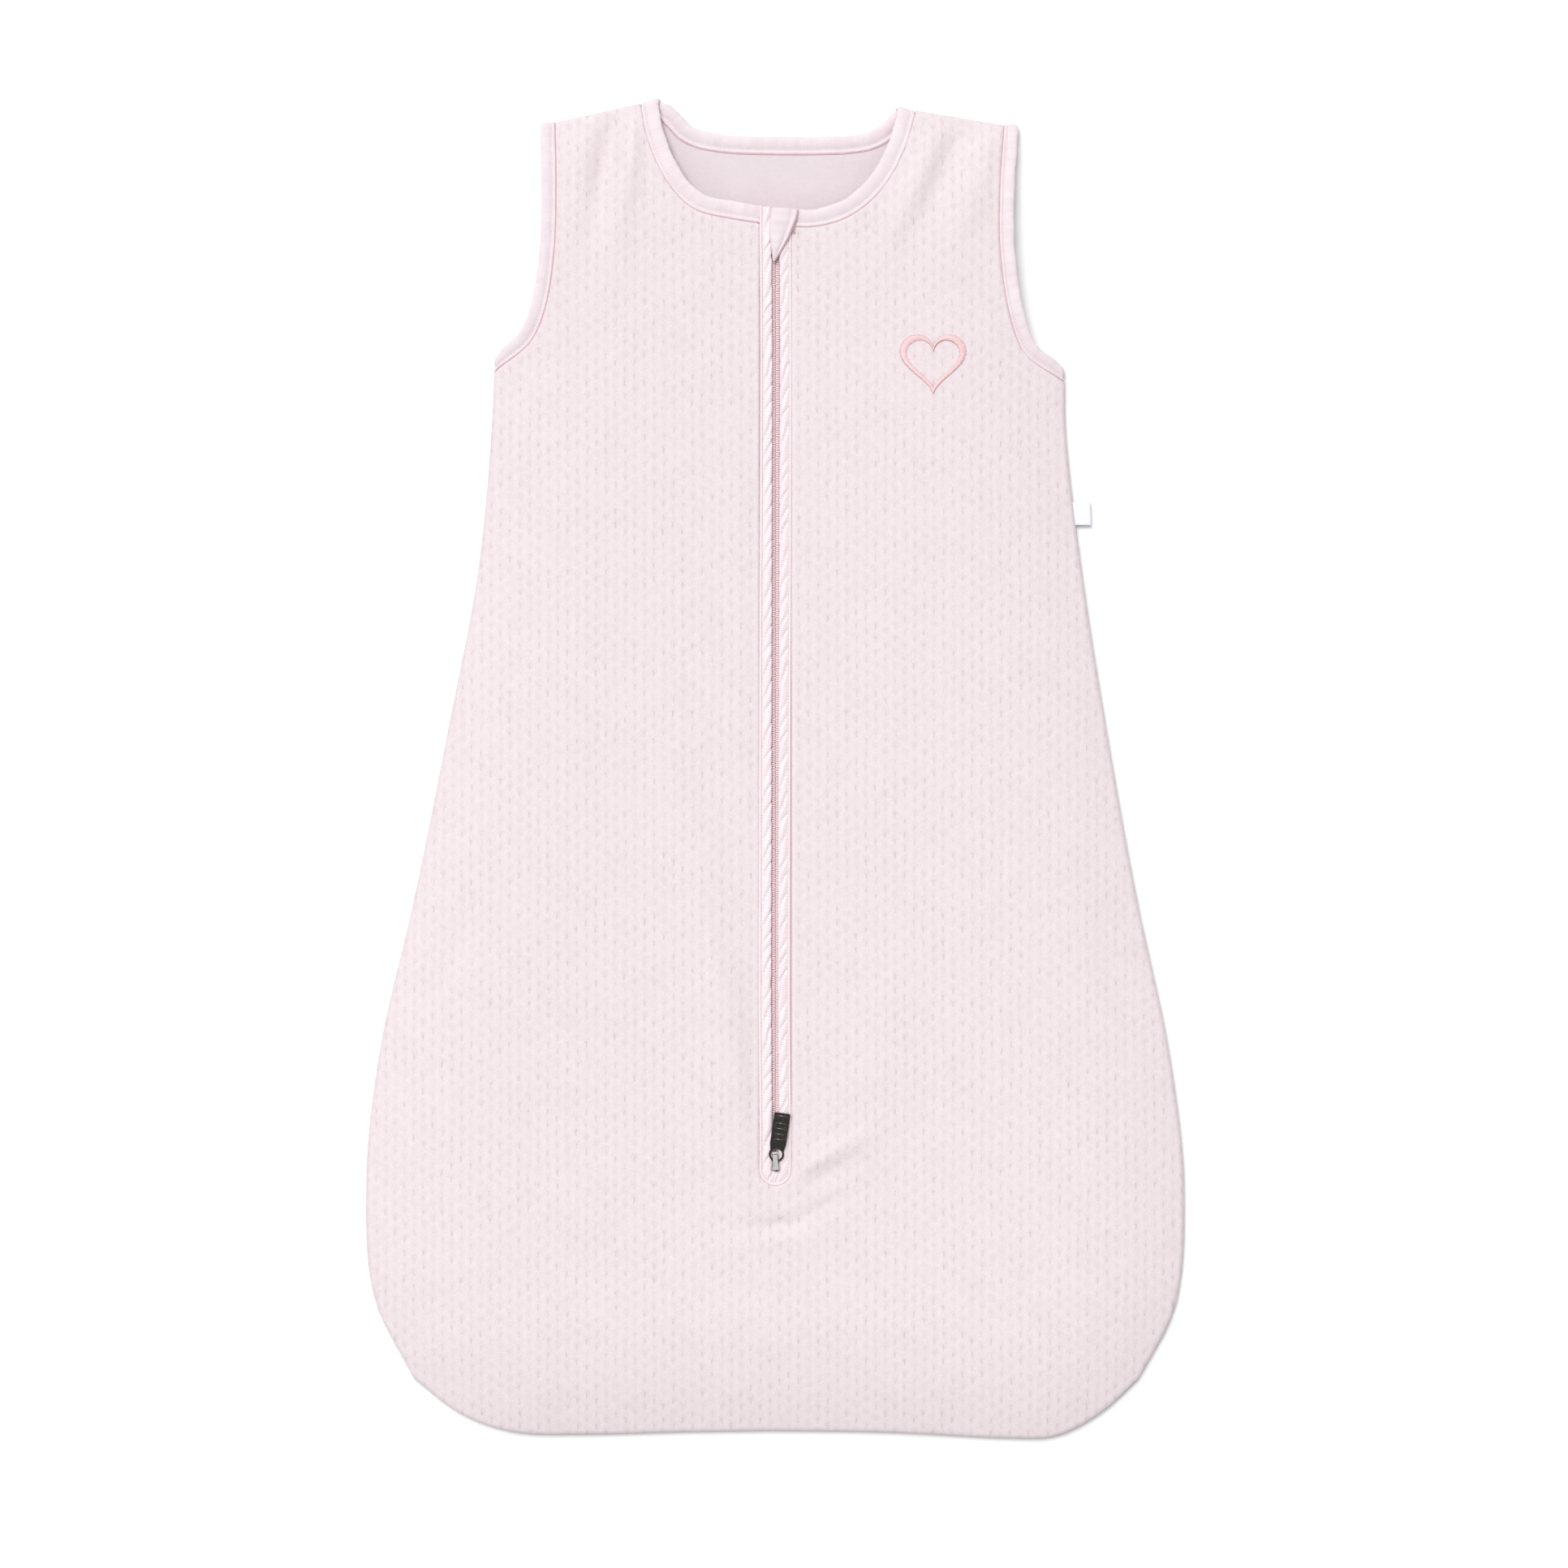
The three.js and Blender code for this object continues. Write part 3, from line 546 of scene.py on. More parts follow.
def metal(name, color, roughness, worn):
    """Metal with fine scratches and clouded with wear."""
    look = Look(name, color, roughness, metallic=1.0, specular=0.5)
    x, y, z = look.place()
    scratch = look.noise(x * 6.0, y * 1.2, z * 6.0, detail=4.0)
    cloud = look.noise(x * 0.5, y * 0.5, z * 0.5, detail=3.0)
    look.tint(cloud.step_between(0.45, 0.75) * 0.5, worn)
    look.roughen(scratch * 0.22 + (roughness - 0.08))
    look.bump(scratch * 0.5 + cloud * 0.5, 0.03)
    return look.material


KNIT_FACE, KNIT_REVERSE, JERSEY, SATIN = knit_face(), knit_reverse(), jersey(), satin()
THREAD = sewing_thread("pale_thread", linear(236, 220, 224), linear(244, 232, 235))
# Pink thread for the bar tack; the same material colours the pink tubes of painted crease shade.
PINK_THREAD_AND_CREASE_SHADE = sewing_thread("pink_thread_and_crease_shade", linear(224, 180, 188), linear(232, 194, 200))
EMBROIDERY, NYLON, TAPE = embroidery_thread(), nylon(), tape_weave()
LABEL = label_satin()
NICKEL = metal("bright_nickel", (0.46, 0.45, 0.44), 0.3, (0.36, 0.35, 0.34))
GUNMETAL = metal("dark_gunmetal", (0.045, 0.04, 0.037), 0.2, (0.09, 0.08, 0.075))
# Lighter metal for the grip bars: wear on the raised bars, and a painted highlight on them.
WORN_AND_HIGHLIT_GUNMETAL = metal("worn_and_highlit_gunmetal", (0.2, 0.185, 0.172), 0.26, (0.1, 0.09, 0.085))


# ---- front panel ----
ROWS = np.concatenate([
    [-345.3, -344.2, -341.8, -337.5, -331.5],
    np.linspace(-325, -224, 15),
    SLOT_END_Y - SLOT_HALF * np.cos(np.linspace(0, math.pi / 2, 5)),
    np.linspace(SLOT_END_Y, 100, 38)[1:],
    np.linspace(100, 272, 26)[1:],
    [276.5, 279.8, 281.6, 282.4],
])
COLUMNS = np.concatenate([
    [0, 0.006, 0.018], np.linspace(0.045, 0.93, 21), [0.958, 0.978, 0.991, 1.0],
])
CORNER_BLEND = 4


def along(line, shares):
    """Points at these shares of a line's length."""
    return at_distances(line, shares * along_of(line)[-1])


def through(shares, corner):
    """The shares shifted so that the nearest of them falls on the corner."""
    k = int(np.argmin(np.abs(shares - corner)))
    before = shares * corner / shares[k]
    after = 1 - (1 - shares) * (1 - corner) / (1 - shares[k])
    return np.where(np.arange(len(shares)) <= k, before, after)


def share_of(line, index):
    """How far along a line one of its points is, as a share of its length."""
    at = along_of(line)
    return at[index] / at[-1]


def panel_half(side, rows, columns, neck_line, middle, open_half, clear):
    """A grid of flat points, rows from foot to neck and columns from the inner edge to the side.

    The inner edge stands open_half from the middle at each row. The neck line starts clear of it.
    """
    inner = np.stack([middle + side * open_half, rows], axis=1)
    outer = np.vstack([SIDE_LINE[side][::-1], ARMHOLE_LINE[side][::-1][1:]])
    neck = neck_line if side == RIGHT else neck_line[::-1]
    neck = neck[side * (neck[:, 0] - inner[-1, 0]) > clear]
    top = np.vstack([inner[-1:], neck, SHOULDER_LINE[side][1:]])
    foot = HEM_LINE[side][::-1]
    v = (rows - rows[0]) / (rows[-1] - rows[0])
    edge = along(outer, through(v, share_of(outer, len(SIDE_LINE[side]) - 1)))
    across = through(columns, share_of(top, len(top) - 2))
    u = columns[None, :, None]
    grid = inner[:, None] * (1 - u) + edge[:, None] * u
    foot_shift = along(foot, columns) - (foot[0] * (1 - u[0]) + foot[-1] * u[0])
    top_shift = along(top, across) - (top[0] * (1 - u[0]) + top[-1] * u[0])
    v = v[:, None, None]
    return grid + foot_shift * (1 - v) ** CORNER_BLEND + top_shift * v**CORNER_BLEND


def joined_halves(halves):
    """Two grids of flat points as one set that shares the points they have in common, and quads."""
    index, points, faces = {}, [], []

    def slot(p):
        key = (round(p[0], 3), round(p[1], 3))
        if key not in index:
            index[key] = len(points)
            points.append(p)
        return index[key]

    for side, grid in halves.items():
        rows, columns = grid.shape[:2]
        ids = np.array([slot(p) for p in grid.reshape(-1, 2)]).reshape(rows, columns)
        for i in range(rows - 1):
            for k in range(columns - 1):
                quad = (ids[i, k], ids[i, k + 1], ids[i + 1, k + 1], ids[i + 1, k])
                quad = quad if side == RIGHT else quad[::-1]
                corners = list(dict.fromkeys(quad))
                if len(corners) > 2:
                    faces.append(tuple(int(c) for c in corners))
    return np.array(points), faces


def front_grid():
    """The front panel's flat points and quads, open along the round-ended slot for the zip."""
    open_half = np.sqrt(np.maximum(0, SLOT_HALF**2 - np.minimum(0, ROWS - SLOT_END_Y) ** 2))
    return joined_halves({
        side: panel_half(side, ROWS, COLUMNS, NECK_FRONT_LINE, ZIP_X, open_half, 1.0)
        for side in (LEFT, RIGHT)
    })


def rim_of(faces):
    """The edges that only one face uses, as pairs of point numbers."""
    count = {}
    for face in faces:
        for a, b in zip(face, face[1:] + face[:1]):
            key = (min(a, b), max(a, b))
            count[key] = count.get(key, 0) + 1
    return [pair for pair, uses in count.items() if uses == 1]


SIM_FRAMES = 26
SIM_CAP = 3.0  # the furthest that the cloth may move as it settles
FORM_BELOW = 1.2  # from the cloth down to the form that it settles on


def draped(piece, pinned, form_points, faces):
    """Lets the sheet settle under its own weight on a form just below it, a little too large for its
    sewn edges as padded knit is, and keeps where it comes to rest."""
    scene = bpy.context.scene
    start = points_of(piece.data)
    mesh = bpy.data.meshes.new("form")
    mesh.from_pydata((form_points * MM).tolist(), [], faces)
    form = bpy.data.objects.new("form", mesh)
    scene.collection.objects.link(form)
    form.modifiers.new("Collision", "COLLISION")
    form.collision.thickness_outer = 0.0004
    form.collision.cloth_friction = 12
    group = piece.vertex_groups.new(name="sewn")
    group.add(pinned, 1.0, "REPLACE")
    cloth = piece.modifiers.new("Cloth", "CLOTH")
    settings = {
        "quality": 8, "mass": 0.35, "tension_stiffness": 25, "compression_stiffness": 25,
        "shear_stiffness": 12, "bending_stiffness": 6, "air_damping": 3,
        "vertex_group_mass": "sewn", "shrink_min": -0.006,
    }
    for name, value in settings.items():
        setattr(cloth.settings, name, value)
    cloth.collision_settings.distance_min = 0.0005
    cloth.collision_settings.use_self_collision = False
    cloth.point_cache.frame_end = SIM_FRAMES
    for number in range(1, SIM_FRAMES + 1):
        scene.frame_set(number)
    settled = piece.evaluated_get(bpy.context.evaluated_depsgraph_get())
    shift = points_of(settled.data) - start
    piece.modifiers.remove(cloth)
    piece.vertex_groups.remove(group)
    bpy.data.objects.remove(form)
    scene.frame_set(1)
    far = np.linalg.norm(shift, axis=1, keepdims=True)
    shift *= np.minimum(1, SIM_CAP / np.maximum(far, 1e-9))
    move_points(piece.data, start + evened(start[:, :2], shift, pinned))


def evened(flat, shift, still):
    """The settled shift averaged over the padding round each point, which takes no sharper folds."""
    reach = np.array([9.0, 16.0])
    held = np.ones(len(flat))
    held[still] = 0
    even = np.zeros_like(shift)
    for first in range(0, len(flat), 500):
        part = slice(first, first + 500)
        far = (flat[part, None] - flat[None]) / reach
        weight = np.exp(-0.5 * (far**2).sum(axis=2))
        even[part] = weight @ shift / weight.sum(axis=1, keepdims=True)
    return even * held[:, None]


EDGE_ROLL = 2.4  # how far the cloth rolls down at its seams
BRINK_REACH, BRINK_DROP = 1.8, 0.4  # the same beside a band
SLOT_TOP_Y = 283  # just past the neck's line
FOLD_CLEAR = {"seam": 12.0, "opening": 7.0, "zip": 10.0}  # where folds have faded out


def zip_calm(xy):
    """0 beside the zip, which holds the cloth flat, rising to 1 away from it."""
    beside = np.abs(xy[:, 0] - ZIP_X) - SLOT_HALF
    below = SLOT_END_Y - SLOT_HALF - xy[:, 1]
    away = np.where(below > 0, np.hypot(np.maximum(beside, 0), below), np.maximum(beside, 0))
    return np.clip(away / FOLD_CLEAR["zip"], 0, 1)


def from_opening(xy):
    """Distance to the nearest edge that has a band on it: neck, armholes or zip slot."""
    lines = [NECK_FRONT_LINE[::4], ARMHOLE_LINE[LEFT][::8], ARMHOLE_LINE[RIGHT][::8]]
    turn = np.linspace(math.pi, 2 * math.pi, 9)
    arc = np.stack([ZIP_X + SLOT_HALF * np.cos(turn), SLOT_END_Y + SLOT_HALF * np.sin(turn)], axis=1)
    lines.append(np.vstack([[ZIP_X - SLOT_HALF, SLOT_TOP_Y], arc, [ZIP_X + SLOT_HALF, SLOT_TOP_Y]]))
    return np.min([distance_to(line, xy) for line in lines], axis=0)


def lined(piece, points, faces, material):
    """Gives a piece of cloth its other face, a coarser one, and closes the rim between the two."""
    fine = points_of(piece.data)
    fine_faces = [tuple(p.vertices) for p in piece.data.polygons]
    beside = {}
    for a, b in rim_of(fine_faces):
        beside.setdefault(a, []).append(b)
        beside.setdefault(b, []).append(a)
    rim_ids = np.array(sorted(beside))

    def nearest(p):
        return int(rim_ids[np.argmin(np.linalg.norm(fine[rim_ids, :2] - p[:2], axis=1))])

    def walk(a, b):
        for first in beside[a]:
            path = [a, first]
            while path[-1] != b and len(path) < 9:
                path.append(next(n for n in beside[path[-1]] if n != path[-2]))
            if path[-1] == b:
                return path
        return []

    piece.data.materials.append(material)
    work = bmesh.new()
    work.from_mesh(piece.data)
    old = list(work.verts)
    made = [work.verts.new(p * MM) for p in points]
    for face in faces:
        added = work.faces.new([made[i] for i in face[::-1]])
        added.material_index = 1
        added.smooth = True
    for a, b in rim_of(faces):
        path = walk(nearest(points[a]), nearest(points[b]))
        if path:
            added = work.faces.new([old[i] for i in path] + [made[b], made[a]])
            added.smooth = True
    bmesh.ops.recalc_face_normals(work, faces=work.faces)
    work.to_mesh(piece.data)
    work.free()


def front_panel():
    """The padded front: settled as cloth, then folded and given its other face."""
    flat, faces = front_grid()
    points = np.column_stack([flat, front_top(flat)])
    piece = new_piece("front_panel_cloth", points, faces, "bag", KNIT_FACE, ["front_panel"])
    pinned = sorted({point for pair in rim_of(faces) for point in pair})
    draped(piece, pinned, points - [0, 0, FORM_BELOW], faces)
    inner = points_of(piece.data)
    subdivided(piece, 2)
    outer = points_of(piece.data)
    for layer in (outer, inner):
        xy = layer[:, :2].copy()
        held = np.minimum(1, from_seam(xy) / FOLD_CLEAR["seam"])
        held = held * np.minimum(1, from_opening(xy) / FOLD_CLEAR["opening"])
        layer[:, 2] += folds_at(xy) * held * zip_calm(xy)
    near = 1 - np.minimum(1, from_seam(outer[:, :2]) / EDGE_ROLL)
    outer[:, 2] -= EDGE_ROLL * (1 - np.sqrt(1 - near**2)) * 0.9
    brink = 1 - np.minimum(1, from_opening(outer[:, :2]) / BRINK_REACH)
    outer[:, 2] -= BRINK_DROP * brink**2
    move_points(piece.data, outer)
    inner[:, 2] -= KNIT
    lined(piece, inner, faces, KNIT_REVERSE)
    return piece


# ---- back panel ----
BACK_ROWS = np.concatenate([
    [-345.3, -344, -341, -335], np.linspace(-325, 285, 52), [295, 304, 311, 316, 318.8, 320.2],
])
BACK_COLUMNS = np.concatenate([np.linspace(0, 0.95, 18), [0.975, 0.99, 1.0]])
RIPPLE_HIGH, RIPPLE_LONG = 0.35, 34  # of the cloth that shows through the neck
RIPPLE_FROM_Y, RIPPLE_CLEAR = 200, 14


def back_panel():
    """The back lies flat on the floor. Its inside faces up and shows through the neck."""
    closed = np.zeros(len(BACK_ROWS))
    flat, faces = joined_halves({
        side: panel_half(side, BACK_ROWS, BACK_COLUMNS, NECK_BACK_LINE, 0.0, closed, 0.5)
        for side in (LEFT, RIGHT)
    })
    points = np.column_stack([flat, np.full(len(flat), KNIT)])
    piece = new_piece("back_panel_cloth", points, faces, "bag", KNIT_REVERSE, ["back_panel"])
    inner = points.copy()
    subdivided(piece, 1)
    outer = points_of(piece.data)
    xy = outer[:, :2]
    calm = np.minimum(1, distance_to(NECK_BACK_LINE[::4], xy) / RIPPLE_CLEAR)
    outer[:, 2] += RIPPLE_HIGH * calm * waves(xy, RIPPLE_LONG, 5) * (xy[:, 1] > RIPPLE_FROM_Y)
    move_points(piece.data, outer)
    seam = np.minimum(1, from_seam(inner[:, :2]) / 4)
    inner[:, 2] = 1.3 * (1 - seam) ** 2
    lined(piece, inner, faces, KNIT_FACE)


# ---- strips, threads and bands ----
UP = np.array([0.0, 0.0, 1.0])


def swept(name, p, w, n, sections, body, material, replaces=(), loop=False):
    """A closed section carried along stations: p the place, w the width way, n the thickness way."""
    count, size = len(p), sections.shape[-2]
    sections = np.broadcast_to(sections, (count, size, 2))
    points = p[:, None] + w[:, None] * sections[:, :, :1] + n[:, None] * sections[:, :, 1:]
    if loop:
        last = (count - 1) * size
        faces = grid_faces(count, size, wrap=True)
        faces += [(last + k, last + (k + 1) % size, (k + 1) % size, k) for k in range(size)]
    else:
        faces = solid_faces(count, size)
    piece = new_piece(name, points.reshape(-1, 3), faces, body, material, replaces)
    face_outward(piece)
    return piece


def tube_sections(radius, sides=6):
    """The round section of a thread."""
    turn = np.linspace(0, 2 * math.pi, sides, endpoint=False)
    return np.stack([radius * np.cos(turn), radius * np.sin(turn)], axis=1)


def flat_sections(places, half_thick):
    """A flat closed section: its places across the width, and half its thickness at each."""
    a, b = np.array(places), np.array(half_thick)
    return np.concatenate([np.stack([a, b], axis=1), np.stack([a[::-1], -b[::-1]], axis=1)])


def across_of(line, n):
    """The width way of a line in space whose thickness way is n."""
    return unit(np.cross(np.gradient(line, axis=0), n))


def seam_line(name, line, n, body, radius):
    """A thin pink tube along a seam, painted shade for the pinkish shade in the seam's crease."""
    n = np.broadcast_to(n, line.shape)
    sections = tube_sections(radius)
    swept(name, line, across_of(line, n), n, sections, body, PINK_THREAD_AND_CREASE_SHADE)


def threads(name, centres, crosses, ups, wide, high, sides, body, material, replaces=()):
    """Many short threads as one mesh, each through its row of centres, with an oval section whose half
    width and half height are given for every centre."""
    turn = np.linspace(0, 2 * math.pi, sides, endpoint=False)
    size = centres.shape[1]
    wide, high = [np.broadcast_to(v, size)[:, None] for v in (wide, high)]
    ring = crosses[:, None, None] * (wide * np.cos(turn))[..., None]
    ring = ring + ups[:, None, None] * (high * np.sin(turn))[..., None]
    points = (centres[:, :, None] + ring).reshape(-1, 3)
    faces = []
    for base in range(0, len(points), size * sides):
        faces += solid_faces(size, sides, base)
    new_piece(name, points, faces, body, material, replaces)


# A stitch at shares of its length: how wide of its radius, and how far down of its sag.
STITCH_SHAPE = [(0, 0.35, 2.2), (0.12, 0.9, 0.7), (0.5, 1.0, 0), (0.88, 0.9, 0.7), (1.0, 0.35, 2.2)]
STITCH_SAG = 0.12


def stitches(name, starts, ends, ups, radius, body, material):
    """Many stitches as one mesh: each a thread from start to end, sunk at both ends."""
    share, width, drop = np.array(STITCH_SHAPE).T[:, :, None]
    way = ends - starts
    centres = starts[:, None] + way[:, None] * share - ups[:, None] * drop * STITCH_SAG
    wide = width[:, 0] * radius
    crosses = unit(np.cross(way, ups))
    threads(name, centres, crosses, ups, wide, wide, 6, body, material)


STITCH_PITCH = 1.65
STITCH_FROM, STITCH_TO = 0.1, 0.86  # shares of the pitch where a stitch starts and ends


def topstitching(name, line, ups, body, radius=0.24):
    """A row of stitches along a line in space."""
    count = int(along_of(line)[-1] / STITCH_PITCH)
    marks = resampled(np.hstack([line, ups]), count)
    way = marks[1:, :3] - marks[:-1, :3]
    starts, ends = marks[:-1, :3] + way * STITCH_FROM, marks[:-1, :3] + way * STITCH_TO
    stitches(name, starts, ends, marks[:-1, 3:], radius, body, THREAD)


# The half thickness of a band, from its free edge (0) to the cloth (1): a soft roll, the groove that
# the stitches pull in, and a narrow ridge beside the cloth.
ROLL = [0, 0.012, 0.05, 0.12, 0.24, 0.4, 0.55, 0.66, 0.72, 0.76, 0.81, 0.88, 0.94, 0.98, 1.0]
THICK = [0.05, 0.6, 1.0, 1.32, 1.52, 1.46, 1.16, 0.78, 0.46, 0.42, 0.8, 1.05, 0.95, 0.6, 0.2]
GROOVE = 0.74


def band_sections(width, at):
    """Sections of a band at these distances along it. It grows by SPREAD on the cloth's side."""
    share, half = np.array(ROLL), np.array(THICK)
    a = -width / 2 + share * (width + SPREAD)
    plump = 1 + 0.10 * waves(at, 9) + 0.05 * waves(at, 3.1)
    edge = 0.18 * waves(at, 16) + 0.08 * waves(at, 4.5)
    pull = np.cos(at * (2 * math.pi / STITCH_PITCH)) * 0.09
    near_stitch = np.exp(-(((share - GROOVE) * width / 0.9) ** 2))
    top = np.maximum(half * plump[:, None] + pull[:, None] * near_stitch, 0.04)
    out = a + edge[:, None] * (1 - share) ** 2
    lower = np.stack([out, -top], axis=-1)[:, ::-1]
    return np.concatenate([np.stack([out, top], axis=-1), lower], axis=1)


def turned(start, end, away):
    """Stations of the half turn from one run of a band to the start of the next."""
    steps = 16
    (p0, w0, n0), (p1, w1, _) = start, end
    reach = (p0[2] - p1[2]) / 2
    made = []
    for k in range(1, steps):
        turn, share = math.pi * k / steps, k / steps
        p = p0 + (p1 - p0) * share + away * abs(reach) * math.sin(turn)
        p[2] = (p0[2] + p1[2]) / 2 + reach * math.cos(turn)
        w = w0 + (w1 - w0) * share
        n = n0 * math.cos(turn) + away * math.sin(turn)
        made.append((p, unit(w), unit(n)))
    return made


SEAM_BLEND = 11.0  # how far from its ends a band starts to turn its width along the seams
BACK_BAND_Z = 1.9  # high enough for the thickest of the band to clear the floor


def run_of(line, sign, out, heights, overhead, ends):
    """Stations beside a line. At its two ends the band's width lies along the seams that meet it."""
    w = -normals_of(line) * sign
    at = along_of(line)
    for seam_way, distance in zip(ends, (at, at[-1] - at)):
        share = np.clip(1 - distance / SEAM_BLEND, 0, 1)[:, None]
        w = unit(w * (1 - share) + seam_way * share)
    centre = np.column_stack([line - w * out, heights])
    w = np.column_stack([w, np.zeros(len(line))])
    n = UP if overhead else -UP
    return [(centre[i], w[i], n) for i in range(len(line))]


def evenly(stations, step, loop=False):
    """The stations resampled to an even step, as p, w, n and the distance along."""
    p, w, n = [np.array(v) for v in zip(*(stations + stations[:1] if loop else stations))]
    at = along_of(p)
    to = np.linspace(0, at[-1], int(at[-1] / step) + 1)
    p, w, n = [np.stack([np.interp(to, at, v[:, k]) for k in range(3)], axis=1) for v in (p, w, n)]
    return p, unit(w), unit(n), to


NECK_BAND, ARMHOLE_BAND = 8.2, 6.6
BAND_CLEAR = 0.9  # from the cloth's cut edge to the band's frame
BAND_STEP = 0.55
SPREAD = 1.0  # how far a band reaches toward the cloth past its frame's edge
CREASE = SPREAD - BAND_CLEAR + 0.12  # from the cloth's cut edge to the crease beside the band


def band_z(line):
    """The height of a band's middle along the front panel's edge."""
    return front_top(line) - KNIT / 2 + 0.65


def stitched_band(name, stations, width, node, loop):
    """A folded strip of jersey with a row of stitches on each of its faces."""
    p, w, n, at = evenly(stations, BAND_STEP, loop)
    if loop:
        p, w, n, at = p[:-1], w[:-1], n[:-1], at[:-1]
    sections = band_sections(width, at)
    if not loop:
        from_end = np.minimum(at, at[-1] - at)
        sections[..., 1] *= np.clip(0.35 + from_end / 5, 0, 1)[:, None]
    piece = swept(name, p, w, n, sections, "bag", JERSEY, [node], loop)
    across = -width / 2 + GROOVE * (width + SPREAD)
    for face, label in ((1, "outer"), (-1, "inner")):
        row = p + w * across + n * face * 0.45
        topstitching(f"{name}_{label}_stitches", row, n * face, "bag")


def crease_line(name, line, side, z):
    """A pink tube of painted shade in the crease of the seam between a band and the cloth, which lies on
    this side of the cloth's cut edge.
    """
    seam_line(name, np.column_stack([line - normals_of(line) * side * CREASE, z]), UP, "bag", 0.22)


def armhole_band(side, label):
    """One loop round an armhole: along the front panel's edge, and back along the back panel's."""
    line = ARMHOLE_LINE[side][2:-3]
    out = ARMHOLE_BAND / 2 + BAND_CLEAR
    neck_end, arm_end = SHOULDER_LINE[side]
    ends = unit(neck_end - arm_end), unit(SIDE_LINE[side][12] - SIDE_LINE[side][0])
    front = run_of(line, side, out, band_z(line), True, ends)
    back = run_of(line, side, out, np.full(len(line), BACK_BAND_Z), False, ends)[::-1]
    down, up = front[-1][0] - front[-2][0], front[0][0] - front[1][0]
    down[2] = up[2] = 0
    stations = front + turned(front[-1], back[0], unit(down))
    stations += back + turned(back[-1], front[0], unit(up))
    name = f"armhole_binding_{label}"
    stitched_band(name + "_band", stations, ARMHOLE_BAND, name, True)
    seam = ARMHOLE_LINE[side][1:-2]
    crease_line(name + "_seam_line", seam, side, front_top(seam) - 0.02)


def neck_band():
    """One strip from zip to zip: up the left front, round the back and down the right front."""
    out = NECK_BAND / 2 + BAND_CLEAR
    front_line, back_line = NECK_FRONT_LINE[3:-3], NECK_BACK_LINE[3:-3]
    ends = [unit(SHOULDER_LINE[side][1] - SHOULDER_LINE[side][0]) for side in (LEFT, RIGHT)]
    front = run_of(front_line, 1, out, band_z(front_line), True, ends)
    under = SLOT_HALF - 0.9  # the band ends just under the zip's facing
    left = [s for s in front if s[0][0] < ZIP_X - under][::-1]
    right = [s for s in front if s[0][0] > ZIP_X + under][::-1]
    back = run_of(back_line, 1, out, np.full(len(back_line), BACK_BAND_Z), False, ends)
    up = np.array([0.0, 1.0, 0.0])
    stations = left + turned(left[-1], back[0], up) + back + turned(back[-1], right[0], up) + right
    stitched_band("neck_binding_band", stations, NECK_BAND, "neck_binding", False)
    seam = NECK_FRONT_LINE[6:-6]
    for side, label in SIDES:
        half = seam[side * (seam[:, 0] - ZIP_X) > SLOT_HALF]
        crease_line(f"neck_seam_line_{label}", half, 1, front_top(half) - 0.02)
    seam = NECK_BACK_LINE[6:-6]
    crease_line("neck_seam_line_back", seam, 1, np.full(len(seam), KNIT + 0.1))


# ---- zip ----
TILT = math.atan(SLOPE)
ZIP_LENGTH = (ZIP_NECK_Y - ZIP_FOOT_Y) / math.cos(TILT)
ZIP_UP = np.array([0.0, -math.sin(TILT), math.cos(TILT)])


def zip_place(points):
    """Points of the zip's frame (x across, y along from its foot, z above the panel) in the bag's."""
    x, y, z = np.moveaxis(np.asarray(points, float), -1, 0)
    return np.stack([
        ZIP_X + x,
        ZIP_FOOT_Y + y * math.cos(TILT) - z * math.sin(TILT),
        RISE_FOOT + y * math.sin(TILT) + z * math.cos(TILT),
    ], axis=-1)


SWAY, SWAY_CROSSES, SWAY_LENGTH = 0.55, 300, 190
SWAY_FROM, SWAY_TO, SWAY_FADE = 20, 480, 60


def zip_sway(y):
    """How far the sewn facing strays from a straight line. It does not at its two ends."""
    fade = np.clip((y - SWAY_FROM) / SWAY_FADE, 0, 1) * np.clip((SWAY_TO - y) / SWAY_FADE, 0, 1)
    return SWAY * np.sin((y - SWAY_CROSSES) / SWAY_LENGTH) * fade


HALF_GAP, NECK_WIDER, FOOT_HALF_GAP = 1.5, 0.35, 0.6


def half_gap(y):
    """Half the gap between the two satin welts, wider toward the neck and narrow round the foot."""
    rise = np.clip((y - 180) / 260, 0, 1)
    foot = np.clip((-5.2 - y) / 2.2, 0, 1)
    return (HALF_GAP + NECK_WIDER * rise) * (1 - foot) + FOOT_HALF_GAP * foot


FACING_STEP = 0.42
WELT_OUT = 8.0
LEFT_PAST, RIGHT_SHORT = 1.5, 7  # where the two welts end, from the zip's neck end
# A welt from its free edge, as shares of the way to the ridge, and its heights there before it creases.
FACING_SHARES = np.array([0, 0.03, 0.1, 0.2, 0.32, 0.45, 0.58, 0.7, 0.79, 0.83])
FACING_HEIGHTS = np.array([-0.1, 0.45, 0.85, 1.05, 1.12, 1.1, 0.98, 0.72, 0.3, 0.12])
RIDGE = [(6.95, 0.42), (7.35, 0.66), (7.8, 0.62), (8.15, 0.3), (8.4, -0.25)]
CREASE_FLOOR = -0.4  # creases go no deeper
STITCHES_OUT, STITCHES_Z = 6.68, 0.2  # the row of stitches just inside the ridge
FACING_EDGE_OUT, FACING_EDGE_Z = 8.62, -0.3  # the seam just past the ridge


